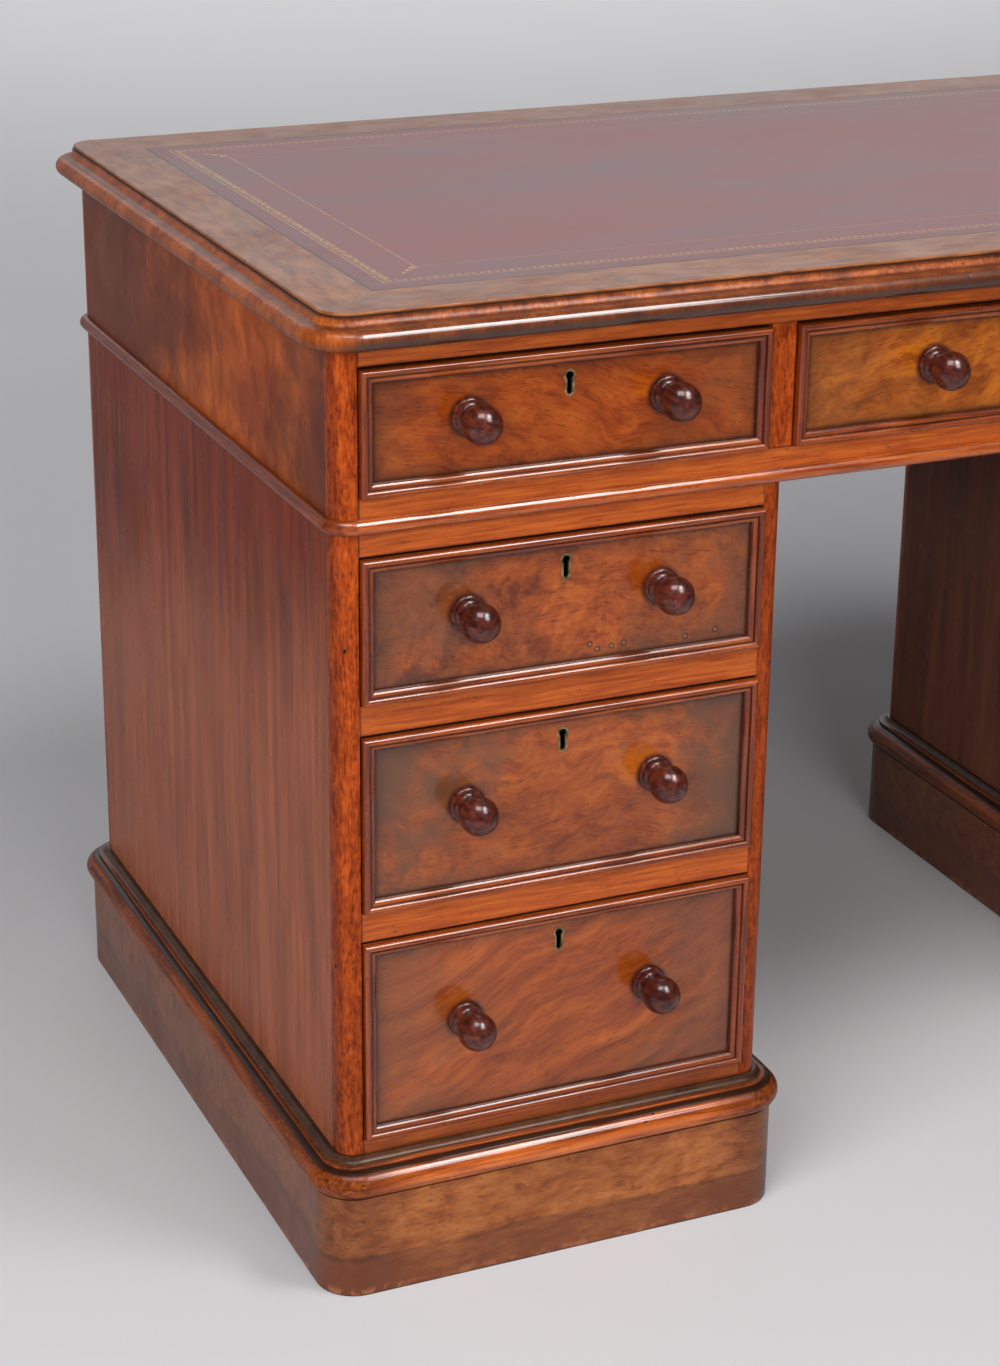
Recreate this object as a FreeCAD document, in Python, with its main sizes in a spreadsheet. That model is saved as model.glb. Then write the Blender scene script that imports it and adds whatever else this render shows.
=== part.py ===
import FreeCAD, Part
import math
import os
from types import SimpleNamespace

import Sketcher

# Partners desk: a leather-topped frieze section on two pedestals, with drawers on both long faces.
# The origin is on the floor under the middle of the desk. +X runs along the desk, the front face
# looks along -Y and +Z is up. All sizes are millimetres.

doc = FreeCAD.newDocument("partners_desk")
sheet = doc.addObject("Spreadsheet::Sheet", "dims")

SIZES = (
    # Carcass
    ("kneehole_width", "476", "clear width between the pedestals"),
    ("drawer_opening_width", "317", "opening of a pedestal drawer and of a side frieze drawer"),
    ("carcass_depth", "612", "front face to back face"),
    ("post_width", "17.5", "square section of the corner posts"),
    ("post_radius", "15", "rounding of the outer corners"),
    ("side_thickness", "15", "pedestal sides and frieze ends"),
    ("rail_depth", "45", "rails, measured inwards from the face"),
    ("runner_width", "25", "bearing width of a drawer runner"),
    ("cross_board_thickness", "12", "boards between front and back drawers"),
    # Pedestal, from the floor up
    ("plinth_board_height", "84", "plinth below its moulding"),
    ("plinth_board_thickness", "18", "plinth boards"),
    ("plinth_board_overhang", "15.5", "plinth face beyond the carcass face"),
    ("plinth_roll_diameter", "22", "half-round of the plinth moulding"),
    ("plinth_roll_overhang", "21.5", "half-round beyond the carcass face"),
    ("plinth_fillet", "3", "square edge above the half-round"),
    ("plinth_hollow", "5", "radius of the hollow above that edge"),
    ("bottom_rail", "12", "rail under the lowest drawer, above the plinth"),
    ("low_opening", "163.5", "height of the bottom drawer's opening"),
    ("drawer_rail", "23.5", "rails between the pedestal drawers"),
    ("middle_opening", "138.5", "height of the middle drawer's opening"),
    ("high_opening", "110", "height of the top drawer's opening"),
    ("pedestal_top_rail", "17", "rail and board over the top drawer"),
    # Frieze
    ("frieze_base_rail", "26", "rail under the frieze drawers"),
    ("frieze_opening", "92.5", "height of the frieze drawers' openings"),
    ("frieze_top_rail", "14.5", "rail over the frieze drawers"),
    ("frieze_divider", "20", "partitions between the frieze drawers"),
    ("frieze_bottom_thickness", "10", "board under the frieze"),
    ("bead_height", "11", "half-round bead round the frieze base"),
    ("bead_projection", "6.5", "bead beyond the frieze face"),
    ("peg_radius", "7", "locating pegs"),
    ("peg_depth", "12", "peg in the pedestal top board"),
    ("peg_spread", "150", "pegs from the middle of the depth"),
    ("peg_clearance", "0.2", "round each peg"),
    # Top
    ("top_thickness", "25", "top board and its moulded edge"),
    ("arris_overhang", "5.5", "upper edge of the top beyond the frieze face"),
    ("arris_depth", "3", "square edge above the hollow"),
    ("top_roll_diameter", "15", "half-round at the bottom of the edge"),
    ("top_roll_overhang", "21", "half-round beyond the frieze face"),
    ("leather_border", "51.5", "wooden border from the arris to the leather"),
    ("leather_thickness", "1.2", "leather and depth of its recess"),
    # Drawers
    ("side_gap", "1", "drawer to opening, each side"),
    ("head_gap", "1.8", "drawer to rail above"),
    ("running_gap", "0.3", "drawer to runner"),
    ("stop_gap", "3", "drawer to cross board"),
    ("front_thickness", "20", "drawer front"),
    ("field_recess", "1", "drawer front behind the rail face"),
    ("drawer_side_thickness", "9", "drawer sides"),
    ("drawer_side_drop", "4", "drawer side below the top of the front"),
    ("drawer_back_thickness", "8", "drawer back"),
    ("drawer_back_drop", "6", "drawer back below the sides"),
    ("drawer_bottom_thickness", "6", "drawer bottom"),
    ("drawer_bottom_rise", "10", "underside of the bottom above the drawer's lower edge"),
    ("groove_depth", "4", "grooves that hold the bottom"),
    ("tail_length", "14", "dovetails let into the front"),
    ("tail_taper", "3", "dovetail narrowing, each edge"),
    ("mould_bead", "5", "outer bead of the drawer moulding, diameter"),
    ("mould_stem", "4.5", "height of that bead's centre"),
    ("mould_quirk", "1", "step between bead and ovolo"),
    ("mould_ovolo", "4", "radius of the inner ovolo"),
    ("mould_lip", "1", "square edge under the ovolo"),
    # Knobs and locks
    ("knob_spread", "76", "knob from the middle of a narrow drawer"),
    ("wide_knob_spread", "118", "knob from the middle of the wide drawer"),
    ("knob_rise", "4", "knob above the middle of the drawer"),
    ("knob_base_radius", "14", "turned base of a knob"),
    ("knob_base_height", "4.2", "turned base of a knob"),
    ("knob_base_round", "2.2", "rounded edge of that base"),
    ("knob_neck_radius", "8.5", "neck of a knob"),
    ("knob_ball_radius", "14.5", "ball of a knob"),
    ("knob_projection", "38", "whole knob from the drawer front"),
    ("spigot_radius", "5", "spigot behind the knob"),
    ("spigot_length", "18", "spigot behind the knob"),
    ("spigot_clearance", "0.1", "round the spigot"),
    ("lock_width", "50", "lock case"),
    ("lock_height", "38", "lock case from the top of the front"),
    ("lock_depth", "11", "lock case"),
    ("selvedge_width", "64", "plate on the front's top edge"),
    ("selvedge_depth", "14", "plate on the front's top edge"),
    ("selvedge_thickness", "2.5", "plate on the front's top edge"),
    ("keyhole_drop", "27", "middle of the keyhole below the opening's head"),
    ("keyhole_height", "20", "outside of the brass lining"),
    ("keyhole_round_radius", "4.8", "round part, outside of the lining"),
    ("keyhole_leg_radius", "3.8", "leg, outside of the lining"),
    ("lining_wall", "1.7", "brass lining of the keyhole"),
    ("lining_depth", "6", "lining into the front"),
    ("lining_proud", "0.3", "lining before the front"),
    ("key_depth", "5", "keyway into the lock case"),
    ("cut_overrun", "5", "tools past the faces that they cut"),
)

# Shares of a dovetail's pitch, and counts of tails on a drawer side
TAIL_SHARE = 0.62
FEW_TAILS = 2
MORE_TAILS = 3

QUARTER_TURN = 90
HALF_TURN = 180
FULL_TURN = 360
UP = FreeCAD.Vector(0, 0, 1)
ACROSS = FreeCAD.Vector(1, 0, 0)
INWARDS = FreeCAD.Vector(0, 1, 0)

for row, (alias, number, note) in enumerate(SIZES, start=1):
    sheet.set(f"A{row}", note)
    sheet.set(f"B{row}", number)
    sheet.setAlias(f"B{row}", alias)
doc.recompute()


class Size:
    """A length: the expression that gives it from the sheet, and its value now."""

    def __init__(self, text, value):
        self.text = text
        self.value = value

    def __add__(self, other):
        return Size(f"({self.text} + {text_of(other)})", self.value + value_of(other))

    def __sub__(self, other):
        return Size(f"({self.text} - {text_of(other)})", self.value - value_of(other))

    def __mul__(self, other):
        return Size(f"({self.text} * {text_of(other)})", self.value * value_of(other))

    def __truediv__(self, other):
        return Size(f"({self.text} / {text_of(other)})", self.value / value_of(other))

    def __neg__(self):
        return self * -1

    def __rsub__(self, other):
        return -self + other

    __radd__ = __add__
    __rmul__ = __mul__


def text_of(size):
    return size.text if isinstance(size, Size) else repr(size)


def value_of(size):
    return size.value if isinstance(size, Size) else size


def root(size):
    return Size(f"sqrt({size.text})", math.sqrt(size.value))


dims = SimpleNamespace(
    **{alias: Size(f"dims.{alias}", float(getattr(sheet, alias))) for alias, _, _ in SIZES}
)

# Plan
pedestal_width = dims.drawer_opening_width + 2 * dims.post_width
half_pedestal = pedestal_width / 2
half_length = dims.kneehole_width / 2 + pedestal_width
half_depth = dims.carcass_depth / 2
pedestal_x = half_length - half_pedestal
corner_x = half_length - dims.post_radius
corner_y = half_depth - dims.post_radius
pedestal_corner_x = half_pedestal - dims.post_radius
rail_back = half_depth - dims.rail_depth
half_cross_board = dims.cross_board_thickness / 2
frieze_drawer_x = half_length - dims.post_width - dims.drawer_opening_width / 2
divider_x = frieze_drawer_x - dims.drawer_opening_width / 2 - dims.frieze_divider / 2
half_divider = dims.frieze_divider / 2
wide_opening = 2 * (divider_x - half_divider)

# Levels
plinth_top = dims.plinth_board_height
plinth_mould_height = dims.plinth_roll_diameter + dims.plinth_fillet + dims.plinth_hollow
low_sill = plinth_top + plinth_mould_height + dims.bottom_rail
low_head = low_sill + dims.low_opening
middle_sill = low_head + dims.drawer_rail
middle_head = middle_sill + dims.middle_opening
high_sill = middle_head + dims.drawer_rail
high_head = high_sill + dims.high_opening
pedestal_top = high_head + dims.pedestal_top_rail
frieze_floor = pedestal_top + dims.frieze_bottom_thickness
frieze_sill = pedestal_top + dims.frieze_base_rail
frieze_head = frieze_sill + dims.frieze_opening
top_underside = frieze_head + dims.frieze_top_rail
top_face = top_underside + dims.top_thickness

nodes = []


def bind(thing, **sizes):
    for name, size in sizes.items():
        thing.setExpression(name, text_of(size))
    return thing


def place(thing, at, turn=0, axis=UP):
    thing.Placement = FreeCAD.Placement(FreeCAD.Vector(), FreeCAD.Rotation(axis, turn))
    for letter, size in zip("xyz", at):
        thing.setExpression(f"Placement.Base.{letter}", text_of(size))
    return thing


def board(name, low, high):
    """A square board between two opposite corners."""
    box = place(doc.addObject("Part::Box", name), low)
    return bind(box, Length=high[0] - low[0], Width=high[1] - low[1], Height=high[2] - low[2])


def rod(name, at, radius, length, turn=0, axis=UP):
    cylinder = place(doc.addObject("Part::Cylinder", name), at, turn, axis)
    return bind(cylinder, Radius=radius, Height=length)


def joined(name, pieces):
    fuse = doc.addObject("Part::MultiFuse", name)
    fuse.Shapes = pieces
    return fuse


def cut(name, base, tool):
    piece = doc.addObject("Part::Cut", name)
    piece.Base = base
    piece.Tool = tool
    return piece


def group(name, pieces):
    compound = doc.addObject("Part::Compound", name)
    compound.Links = pieces
    return compound


def copy(piece, at, turn=0, axis=UP):
    return place(group(f"{piece.Name}_copy", [piece]), at, turn, axis)


def node(label, pieces):
    """A named sub-part: one piece, or several separate solids."""
    sub_part = group(label, pieces)
    sub_part.Label = label
    nodes.append(sub_part)
    return sub_part


def fix(sketch, line, end, x, y):
    """Ties an end of a sketch line to its place, measured from the sketch's origin."""
    for kind, zero_axis, size in (("DistanceX", -2, x), ("DistanceY", -1, y)):
        if size is None:
            continue
        if not isinstance(size, Size):
            sketch.addConstraint(Sketcher.Constraint("PointOnObject", line, end, zero_axis))
            continue
        tie = sketch.addConstraint(Sketcher.Constraint(kind, -1, 1, line, end, size.value))
        sketch.setExpression(f"Constraints[{tie}]", size.text)


def point(corner):
    return FreeCAD.Vector(value_of(corner[0]), value_of(corner[1]), 0)


def draw(sketch, outline):
    """Draws a closed outline. A corner is (x, y), or (x, y, centre, clockwise) before an arc."""
    lines = []
    for corner, following in zip(outline, outline[1:] + outline[:1]):
        start, finish = point(corner), point(following)
        if len(corner) == 2:
            lines.append((sketch.addGeometry(Part.LineSegment(start, finish)), 1, 2))
            continue
        centre = point(corner[2])
        first, last = (2, 1) if corner[3] else (1, 2)
        arms = [end - centre for end in ((finish, start) if corner[3] else (start, finish))]
        angles = [math.atan2(arm.y, arm.x) for arm in arms]
        circle = Part.Circle(centre, UP, arms[0].Length)
        lines.append((sketch.addGeometry(Part.ArcOfCircle(circle, *angles)), first, last))
    for place_in_order, (corner, (line, first, last)) in enumerate(zip(outline, lines)):
        fix(sketch, line, first, corner[0], corner[1])
        following, its_first, _ = lines[(place_in_order + 1) % len(lines)]
        sketch.addConstraint(Sketcher.Constraint("Coincident", line, last, following, its_first))
        if len(corner) > 2:
            chord = point(outline[(place_in_order + 1) % len(outline)]) - point(corner)
            flat = abs(chord.x) >= abs(chord.y)
            centre = corner[2]
            fix(sketch, line, 3, None if flat else centre[0], centre[1] if flat else None)


def sketched_body(name, plane, outline):
    body = doc.addObject("PartDesign::Body", name)
    sketch = body.newObject("Sketcher::SketchObject", f"{name}_outline")
    planes = {feature.Role: feature for feature in body.Origin.OriginFeatures}
    sketch.AttachmentSupport = [(planes[plane], "")]
    sketch.MapMode = "FlatFace"
    draw(sketch, outline)
    return body, sketch


def padded(name, plane, outline, length):
    """A length of one section, centred on its sketch plane."""
    body, sketch = sketched_body(name, plane, outline)
    pad = body.newObject("PartDesign::Pad", f"{name}_pad")
    pad.Profile = sketch
    pad.SideType = "Symmetric"
    bind(pad, Length=length)
    return body


def turned(name, outline, angle):
    """A section turned about the upright axis."""
    body, sketch = sketched_body(name, "XZ_Plane", outline)
    turning = body.newObject("PartDesign::Revolution", f"{name}_turning")
    turning.Profile = sketch
    turning.ReferenceAxis = (sketch, ["V_Axis"])
    turning.Angle = angle
    return body


def ring_masters(name, section, half_x, half_y):
    """Lengths along X and Y and a corner block of a moulding that runs round the carcass.

    The section's x is measured from the middle of the rounded corner.
    """
    long_piece = padded(f"{name}_long", "XZ_Plane", section, 2 * half_x)
    short_piece = padded(f"{name}_short", "XZ_Plane", section, 2 * half_y)
    return long_piece, short_piece, turned(f"{name}_corner", section, QUARTER_TURN)


def corner_places(x, half_x, half_y, z):
    """The four rounded corners, anticlockwise from the right-hand back one, with their turns."""
    signs = ((1, 1), (-1, 1), (-1, -1), (1, -1))
    return [
        ((x + sign_x * half_x, sign_y * half_y, z), QUARTER_TURN * turn)
        for turn, (sign_x, sign_y) in enumerate(signs)
    ]


def ring(masters, x, half_x, half_y, z):
    """The eight pieces of a moulding round a rectangle centred at x."""
    long_piece, short_piece, corner_piece = masters
    pieces = []
    for sign, turn in ((1, 0), (-1, HALF_TURN)):
        pieces.append(copy(short_piece, (x + sign * half_x, 0, z), turn))
        pieces.append(copy(long_piece, (x, sign * half_y, z), turn + QUARTER_TURN))
    for at, turn in corner_places(x, half_x, half_y, z):
        pieces.append(copy(corner_piece, at, turn))
    return pieces


def posts(name, x, half_x, bottom, top):
    """Four corner posts with rounded outer corners."""
    inner = dims.post_radius - dims.post_width
    outer = dims.post_radius
    section = [
        (inner, inner),
        (outer, inner),
        (outer, 0, (0, 0), False),
        (0, outer),
        (inner, outer),
    ]
    post = padded(name, "XY_Plane", section, top - bottom)
    return [copy(post, at, turn) for at, turn in corner_places(x, half_x, corner_y, (top + bottom) / 2)]


# Top section


def make_top():
    half_x = half_length + dims.arris_overhang
    half_y = half_depth + dims.arris_overhang
    outline = [
        (corner_x, -half_y, (corner_x, -corner_y), False),
        (half_x, -corner_y),
        (half_x, corner_y, (corner_x, corner_y), False),
        (corner_x, half_y),
        (-corner_x, half_y, (-corner_x, corner_y), False),
        (-half_x, corner_y),
        (-half_x, -corner_y, (-corner_x, -corner_y), False),
        (-corner_x, -half_y),
    ]
    slab = padded("top_slab", "XY_Plane", outline, dims.top_thickness)
    leather_x = half_x - dims.leather_border
    leather_y = half_y - dims.leather_border
    recess_floor = top_face - dims.leather_thickness
    slab_in_place = copy(slab, (0, 0, (top_underside + top_face) / 2))
    recess = board(
        "leather_recess",
        (-leather_x, -leather_y, recess_floor),
        (leather_x, leather_y, top_face + dims.cut_overrun),
    )
    leather = board(
        "leather", (-leather_x, -leather_y, recess_floor), (leather_x, leather_y, top_face)
    )
    node("top_board", [cut("recessed_slab", slab_in_place, recess)])
    node("leather_writing_surface", [leather])


def make_top_edge():
    roll = dims.top_roll_diameter / 2
    axis = dims.post_radius
    roll_middle = axis + dims.top_roll_overhang - roll
    hollow = dims.top_thickness - dims.arris_depth - dims.top_roll_diameter
    hollow_top = dims.top_thickness - dims.arris_depth
    inner = axis + dims.arris_overhang
    section = [
        (inner, 0),
        (roll_middle, 0, (roll_middle, roll), False),
        (roll_middle, dims.top_roll_diameter, (roll_middle, hollow_top), True),
        (roll_middle - hollow, hollow_top),
        (inner, hollow_top),
    ]
    masters = ring_masters("top_edge", section, corner_x, corner_y)
    node("top_edge_moulding", ring(masters, 0, corner_x, corner_y, top_underside))


def make_bead():
    half_height = dims.bead_height / 2
    radius = (half_height * half_height / dims.bead_projection + dims.bead_projection) / 2
    middle = dims.post_radius + dims.bead_projection - radius
    section = [
        (dims.post_radius, 0, (middle, half_height), False),
        (dims.post_radius, dims.bead_height),
    ]
    masters = ring_masters("bead", section, corner_x, corner_y)
    node("frieze_bead", ring(masters, 0, corner_x, corner_y, pedestal_top))


def make_frieze():
    panel_y = half_depth - dims.post_width
    panel_x = half_length - dims.side_thickness
    rail_x = half_length - dims.post_width
    ends = []
    rails = {"base": [], "top": []}
    for sign in (-1, 1):
        near, far = sorted((sign * panel_x, sign * half_length), key=value_of)
        ends.append(
            board("frieze_end", (near, -panel_y, pedestal_top), (far, panel_y, top_underside))
        )
        near, far = sorted((sign * half_depth, sign * rail_back), key=value_of)
        for rail, low, high in (
            ("base", pedestal_top, frieze_sill),
            ("top", frieze_head, top_underside),
        ):
            rails[rail].append(
                board(f"frieze_{rail}_rail", (-rail_x, near, low), (rail_x, far, high))
            )
    node("frieze_end_panels", ends)
    node("frieze_corner_posts", posts("frieze_post", 0, corner_x, pedestal_top, top_underside))
    node("frieze_base_rails", rails["base"])
    node("frieze_top_rails", rails["top"])


def make_frieze_inside():
    panel_x = half_length - dims.side_thickness
    divider_inner = divider_x - half_divider
    divider_outer = divider_x + half_divider
    partitions = []
    bearers = []
    for sign in (-1, 1):
        near, far = sorted((sign * divider_inner, sign * divider_outer), key=value_of)
        partitions.append(
            board("partition", (near, -half_depth, frieze_sill), (far, half_depth, frieze_head))
        )
        near, far = sorted((sign * divider_outer, sign * panel_x), key=value_of)
        partitions.append(
            board(
                "side_cross_board",
                (near, -half_cross_board, frieze_sill),
                (far, half_cross_board, frieze_head),
            )
        )
        for inner, outer in (
            (divider_inner - dims.runner_width, divider_outer + dims.runner_width),
            (panel_x - dims.runner_width, panel_x),
        ):
            near, far = sorted((sign * inner, sign * outer), key=value_of)
            for name, low, high in (
                ("frieze_runner", frieze_floor, frieze_sill),
                ("frieze_kicker", frieze_head, top_underside),
            ):
                bearers.append(board(name, (near, -rail_back, low), (far, rail_back, high)))
    partitions.append(
        board(
            "centre_cross_board",
            (-divider_inner, -half_cross_board, frieze_sill),
            (divider_inner, half_cross_board, frieze_head),
        )
    )
    node("frieze_partitions", partitions)
    node("frieze_runners_and_kickers", bearers)
    floor = board(
        "frieze_floor", (-panel_x, -rail_back, pedestal_top), (panel_x, rail_back, frieze_floor)
    )
    node("frieze_bottom_board", [cut("pegged_floor", floor, joined("floor_holes", peg_holes()))])


def peg_places():
    return [(x * pedestal_x, y * dims.peg_spread) for x in (-1, 1) for y in (-1, 1)]


def peg_holes():
    bottom = pedestal_top - dims.peg_depth
    height = dims.peg_depth + dims.frieze_bottom_thickness + dims.cut_overrun
    radius = dims.peg_radius + dims.peg_clearance
    return [rod("peg_hole", (x, y, bottom), radius, height) for x, y in peg_places()]


def make_pegs():
    bottom = pedestal_top - dims.peg_depth
    height = dims.peg_depth + dims.frieze_bottom_thickness
    pegs = [rod("peg", (x, y, bottom), dims.peg_radius, height) for x, y in peg_places()]
    node("locating_pegs", pegs)


# Pedestals


def plinth_board_masters():
    outer = dims.post_radius + dims.plinth_board_overhang
    inner = outer - dims.plinth_board_thickness
    section = [(inner, 0), (outer, 0), (outer, plinth_top), (inner, plinth_top)]
    return ring_masters("plinth_board", section, pedestal_corner_x, corner_y)


def plinth_moulding_masters():
    axis = dims.post_radius
    roll = dims.plinth_roll_diameter / 2
    roll_middle = axis + dims.plinth_roll_overhang - roll
    fillet_top = dims.plinth_roll_diameter + dims.plinth_fillet
    hollow_foot = axis + dims.plinth_fillet + dims.plinth_hollow
    section = [
        (axis, 0),
        (roll_middle, 0, (roll_middle, roll), False),
        (roll_middle, dims.plinth_roll_diameter),
        (roll_middle, fillet_top),
        (hollow_foot, fillet_top, (hollow_foot, plinth_mould_height), True),
        (axis + dims.plinth_fillet, plinth_mould_height),
        (axis, plinth_mould_height),
    ]
    return ring_masters("plinth_moulding", section, pedestal_corner_x, corner_y)


def make_pedestal_case(hand, x):
    panel_y = half_depth - dims.post_width
    inner = half_pedestal - dims.side_thickness
    sides = []
    rails = []
    runners = []
    boards = []
    rail_levels = (
        (plinth_top, low_sill),
        (low_head, middle_sill),
        (middle_head, high_sill),
        (high_head, pedestal_top),
    )
    half_opening = dims.drawer_opening_width / 2
    for sign in (-1, 1):
        near, far = sorted((sign * inner, sign * half_pedestal), key=value_of)
        sides.append(
            board(
                f"{hand}_side", (x + near, -panel_y, plinth_top), (x + far, panel_y, pedestal_top)
            )
        )
        near, far = sorted((sign * inner, sign * (inner - dims.runner_width)), key=value_of)
        for low, high in rail_levels[1:3]:
            runners.append(
                board(f"{hand}_runner", (x + near, -rail_back, low), (x + far, rail_back, high))
            )
        near, far = sorted((sign * rail_back, sign * half_depth), key=value_of)
        for low, high in rail_levels:
            rails.append(
                board(f"{hand}_rail", (x - half_opening, near, low), (x + half_opening, far, high))
            )
    for low, high in (
        (low_sill, low_head),
        (middle_sill, middle_head),
        (high_sill, high_head),
    ):
        boards.append(
            board(
                f"{hand}_cross_board",
                (x - inner, -half_cross_board, low),
                (x + inner, half_cross_board, high),
            )
        )
    boards.append(
        board(
            f"{hand}_bottom_board",
            (x - inner, -rail_back, low_sill - dims.bottom_rail),
            (x + inner, rail_back, low_sill),
        )
    )
    lid = board(
        f"{hand}_top_board", (x - inner, -rail_back, high_head), (x + inner, rail_back, pedestal_top)
    )
    boards.append(cut(f"{hand}_pegged_top", lid, joined(f"{hand}_lid_holes", peg_holes())))
    node(f"{hand}_pedestal_sides", sides)
    node(
        f"{hand}_pedestal_posts",
        posts(f"{hand}_post", x, pedestal_corner_x, plinth_top, pedestal_top),
    )
    node(f"{hand}_pedestal_rails", rails)
    node(f"{hand}_pedestal_boards", boards)
    return runners


def make_pedestals():
    plinth_boards = plinth_board_masters()
    mouldings = plinth_moulding_masters()
    runners = []
    moulding_pieces = []
    for hand, x in (("left", -pedestal_x), ("right", pedestal_x)):
        runners += make_pedestal_case(hand, x)
        node(f"{hand}_plinth", ring(plinth_boards, x, pedestal_corner_x, corner_y, 0))
        moulding_pieces += ring(mouldings, x, pedestal_corner_x, corner_y, plinth_top)
    node("pedestal_runners", runners)
    node("plinth_mouldings", moulding_pieces)


# Drawers, drawn with the middle of the opening's sill at the origin and the face towards -Y

mould_width = dims.mould_bead + dims.mould_quirk + dims.mould_ovolo
mould_height = dims.mould_stem + dims.mould_bead / 2
front_back = dims.field_recess + dims.front_thickness
drawer_rear = half_depth - half_cross_board - dims.stop_gap


def make_knob():
    cove = dims.knob_base_radius - dims.knob_base_round - dims.knob_neck_radius
    rounding = dims.knob_base_radius - dims.knob_base_round
    edge = dims.knob_base_height - dims.knob_base_round
    cove_top = dims.knob_base_height + cove
    ball_middle = dims.knob_projection - dims.knob_ball_radius
    ball = dims.knob_ball_radius * dims.knob_ball_radius
    ball_foot = ball_middle - root(ball - dims.knob_neck_radius * dims.knob_neck_radius)
    section = [
        (0, -dims.spigot_length),
        (dims.spigot_radius, -dims.spigot_length),
        (dims.spigot_radius, 0),
        (dims.knob_base_radius, 0),
        (dims.knob_base_radius, edge, (rounding, edge), False),
        (rounding, dims.knob_base_height, (rounding, cove_top), True),
        (dims.knob_neck_radius, cove_top),
        (dims.knob_neck_radius, ball_foot, (0, ball_middle), False),
        (0, dims.knob_projection),
    ]
    return turned("knob", section, FULL_TURN)


knob = make_knob()


def moulding_strip(name, length):
    """A mitred length of drawer moulding, its outer edge on the origin and its section along +Z."""
    ovolo_foot = dims.mould_bead + dims.mould_quirk
    ovolo_top = dims.mould_lip + dims.mould_ovolo
    section = [
        (0, 0),
        (-dims.mould_stem, 0, (-dims.mould_stem, dims.mould_bead / 2), True),
        (-dims.mould_stem, dims.mould_bead),
        (-ovolo_top, ovolo_foot, (-dims.mould_lip, ovolo_foot), True),
        (-dims.mould_lip, mould_width),
        (0, mould_width),
    ]
    strip = padded(f"{name}_stock", "YZ_Plane", section, length)
    mitre = place(doc.addObject("Part::Wedge", f"{name}_mitre"), (0, 0, 0), QUARTER_TURN, ACROSS)
    half = length / 2
    bind(mitre, Xmin=-half, Xmax=half, X2min=mould_width - half, X2max=half - mould_width)
    bind(mitre, Ymin=0, Ymax=mould_width, Zmin=0, Z2min=0, Zmax=mould_height, Z2max=mould_height)
    piece = doc.addObject("Part::Common", name)
    piece.Base = strip
    piece.Tool = mitre
    return piece


def keyhole(name, middle, wall, front, back):
    """The prism of a keyhole: a round part over a leg with a rounded foot."""
    round_radius = dims.keyhole_round_radius - wall
    leg = dims.keyhole_leg_radius - wall
    eye = middle + dims.keyhole_height / 2 - dims.keyhole_round_radius
    foot = middle - dims.keyhole_height / 2 + dims.keyhole_leg_radius
    depth = back - front
    return joined(
        name,
        [
            rod(f"{name}_eye", (0, back, eye), round_radius, depth, QUARTER_TURN, ACROSS),
            rod(f"{name}_foot", (0, back, foot), leg, depth, QUARTER_TURN, ACROSS),
            board(f"{name}_leg", (-leg, front, foot), (leg, back, eye)),
        ],
    )


def lock_block(name, top):
    half_case = dims.lock_width / 2
    half_plate = dims.selvedge_width / 2
    return joined(
        name,
        [
            board(
                f"{name}_case",
                (-half_case, front_back - dims.lock_depth, top - dims.lock_height),
                (half_case, front_back, top),
            ),
            board(
                f"{name}_selvedge",
                (-half_plate, front_back - dims.selvedge_depth, top - dims.selvedge_thickness),
                (half_plate, front_back, top),
            ),
        ],
    )


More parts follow.
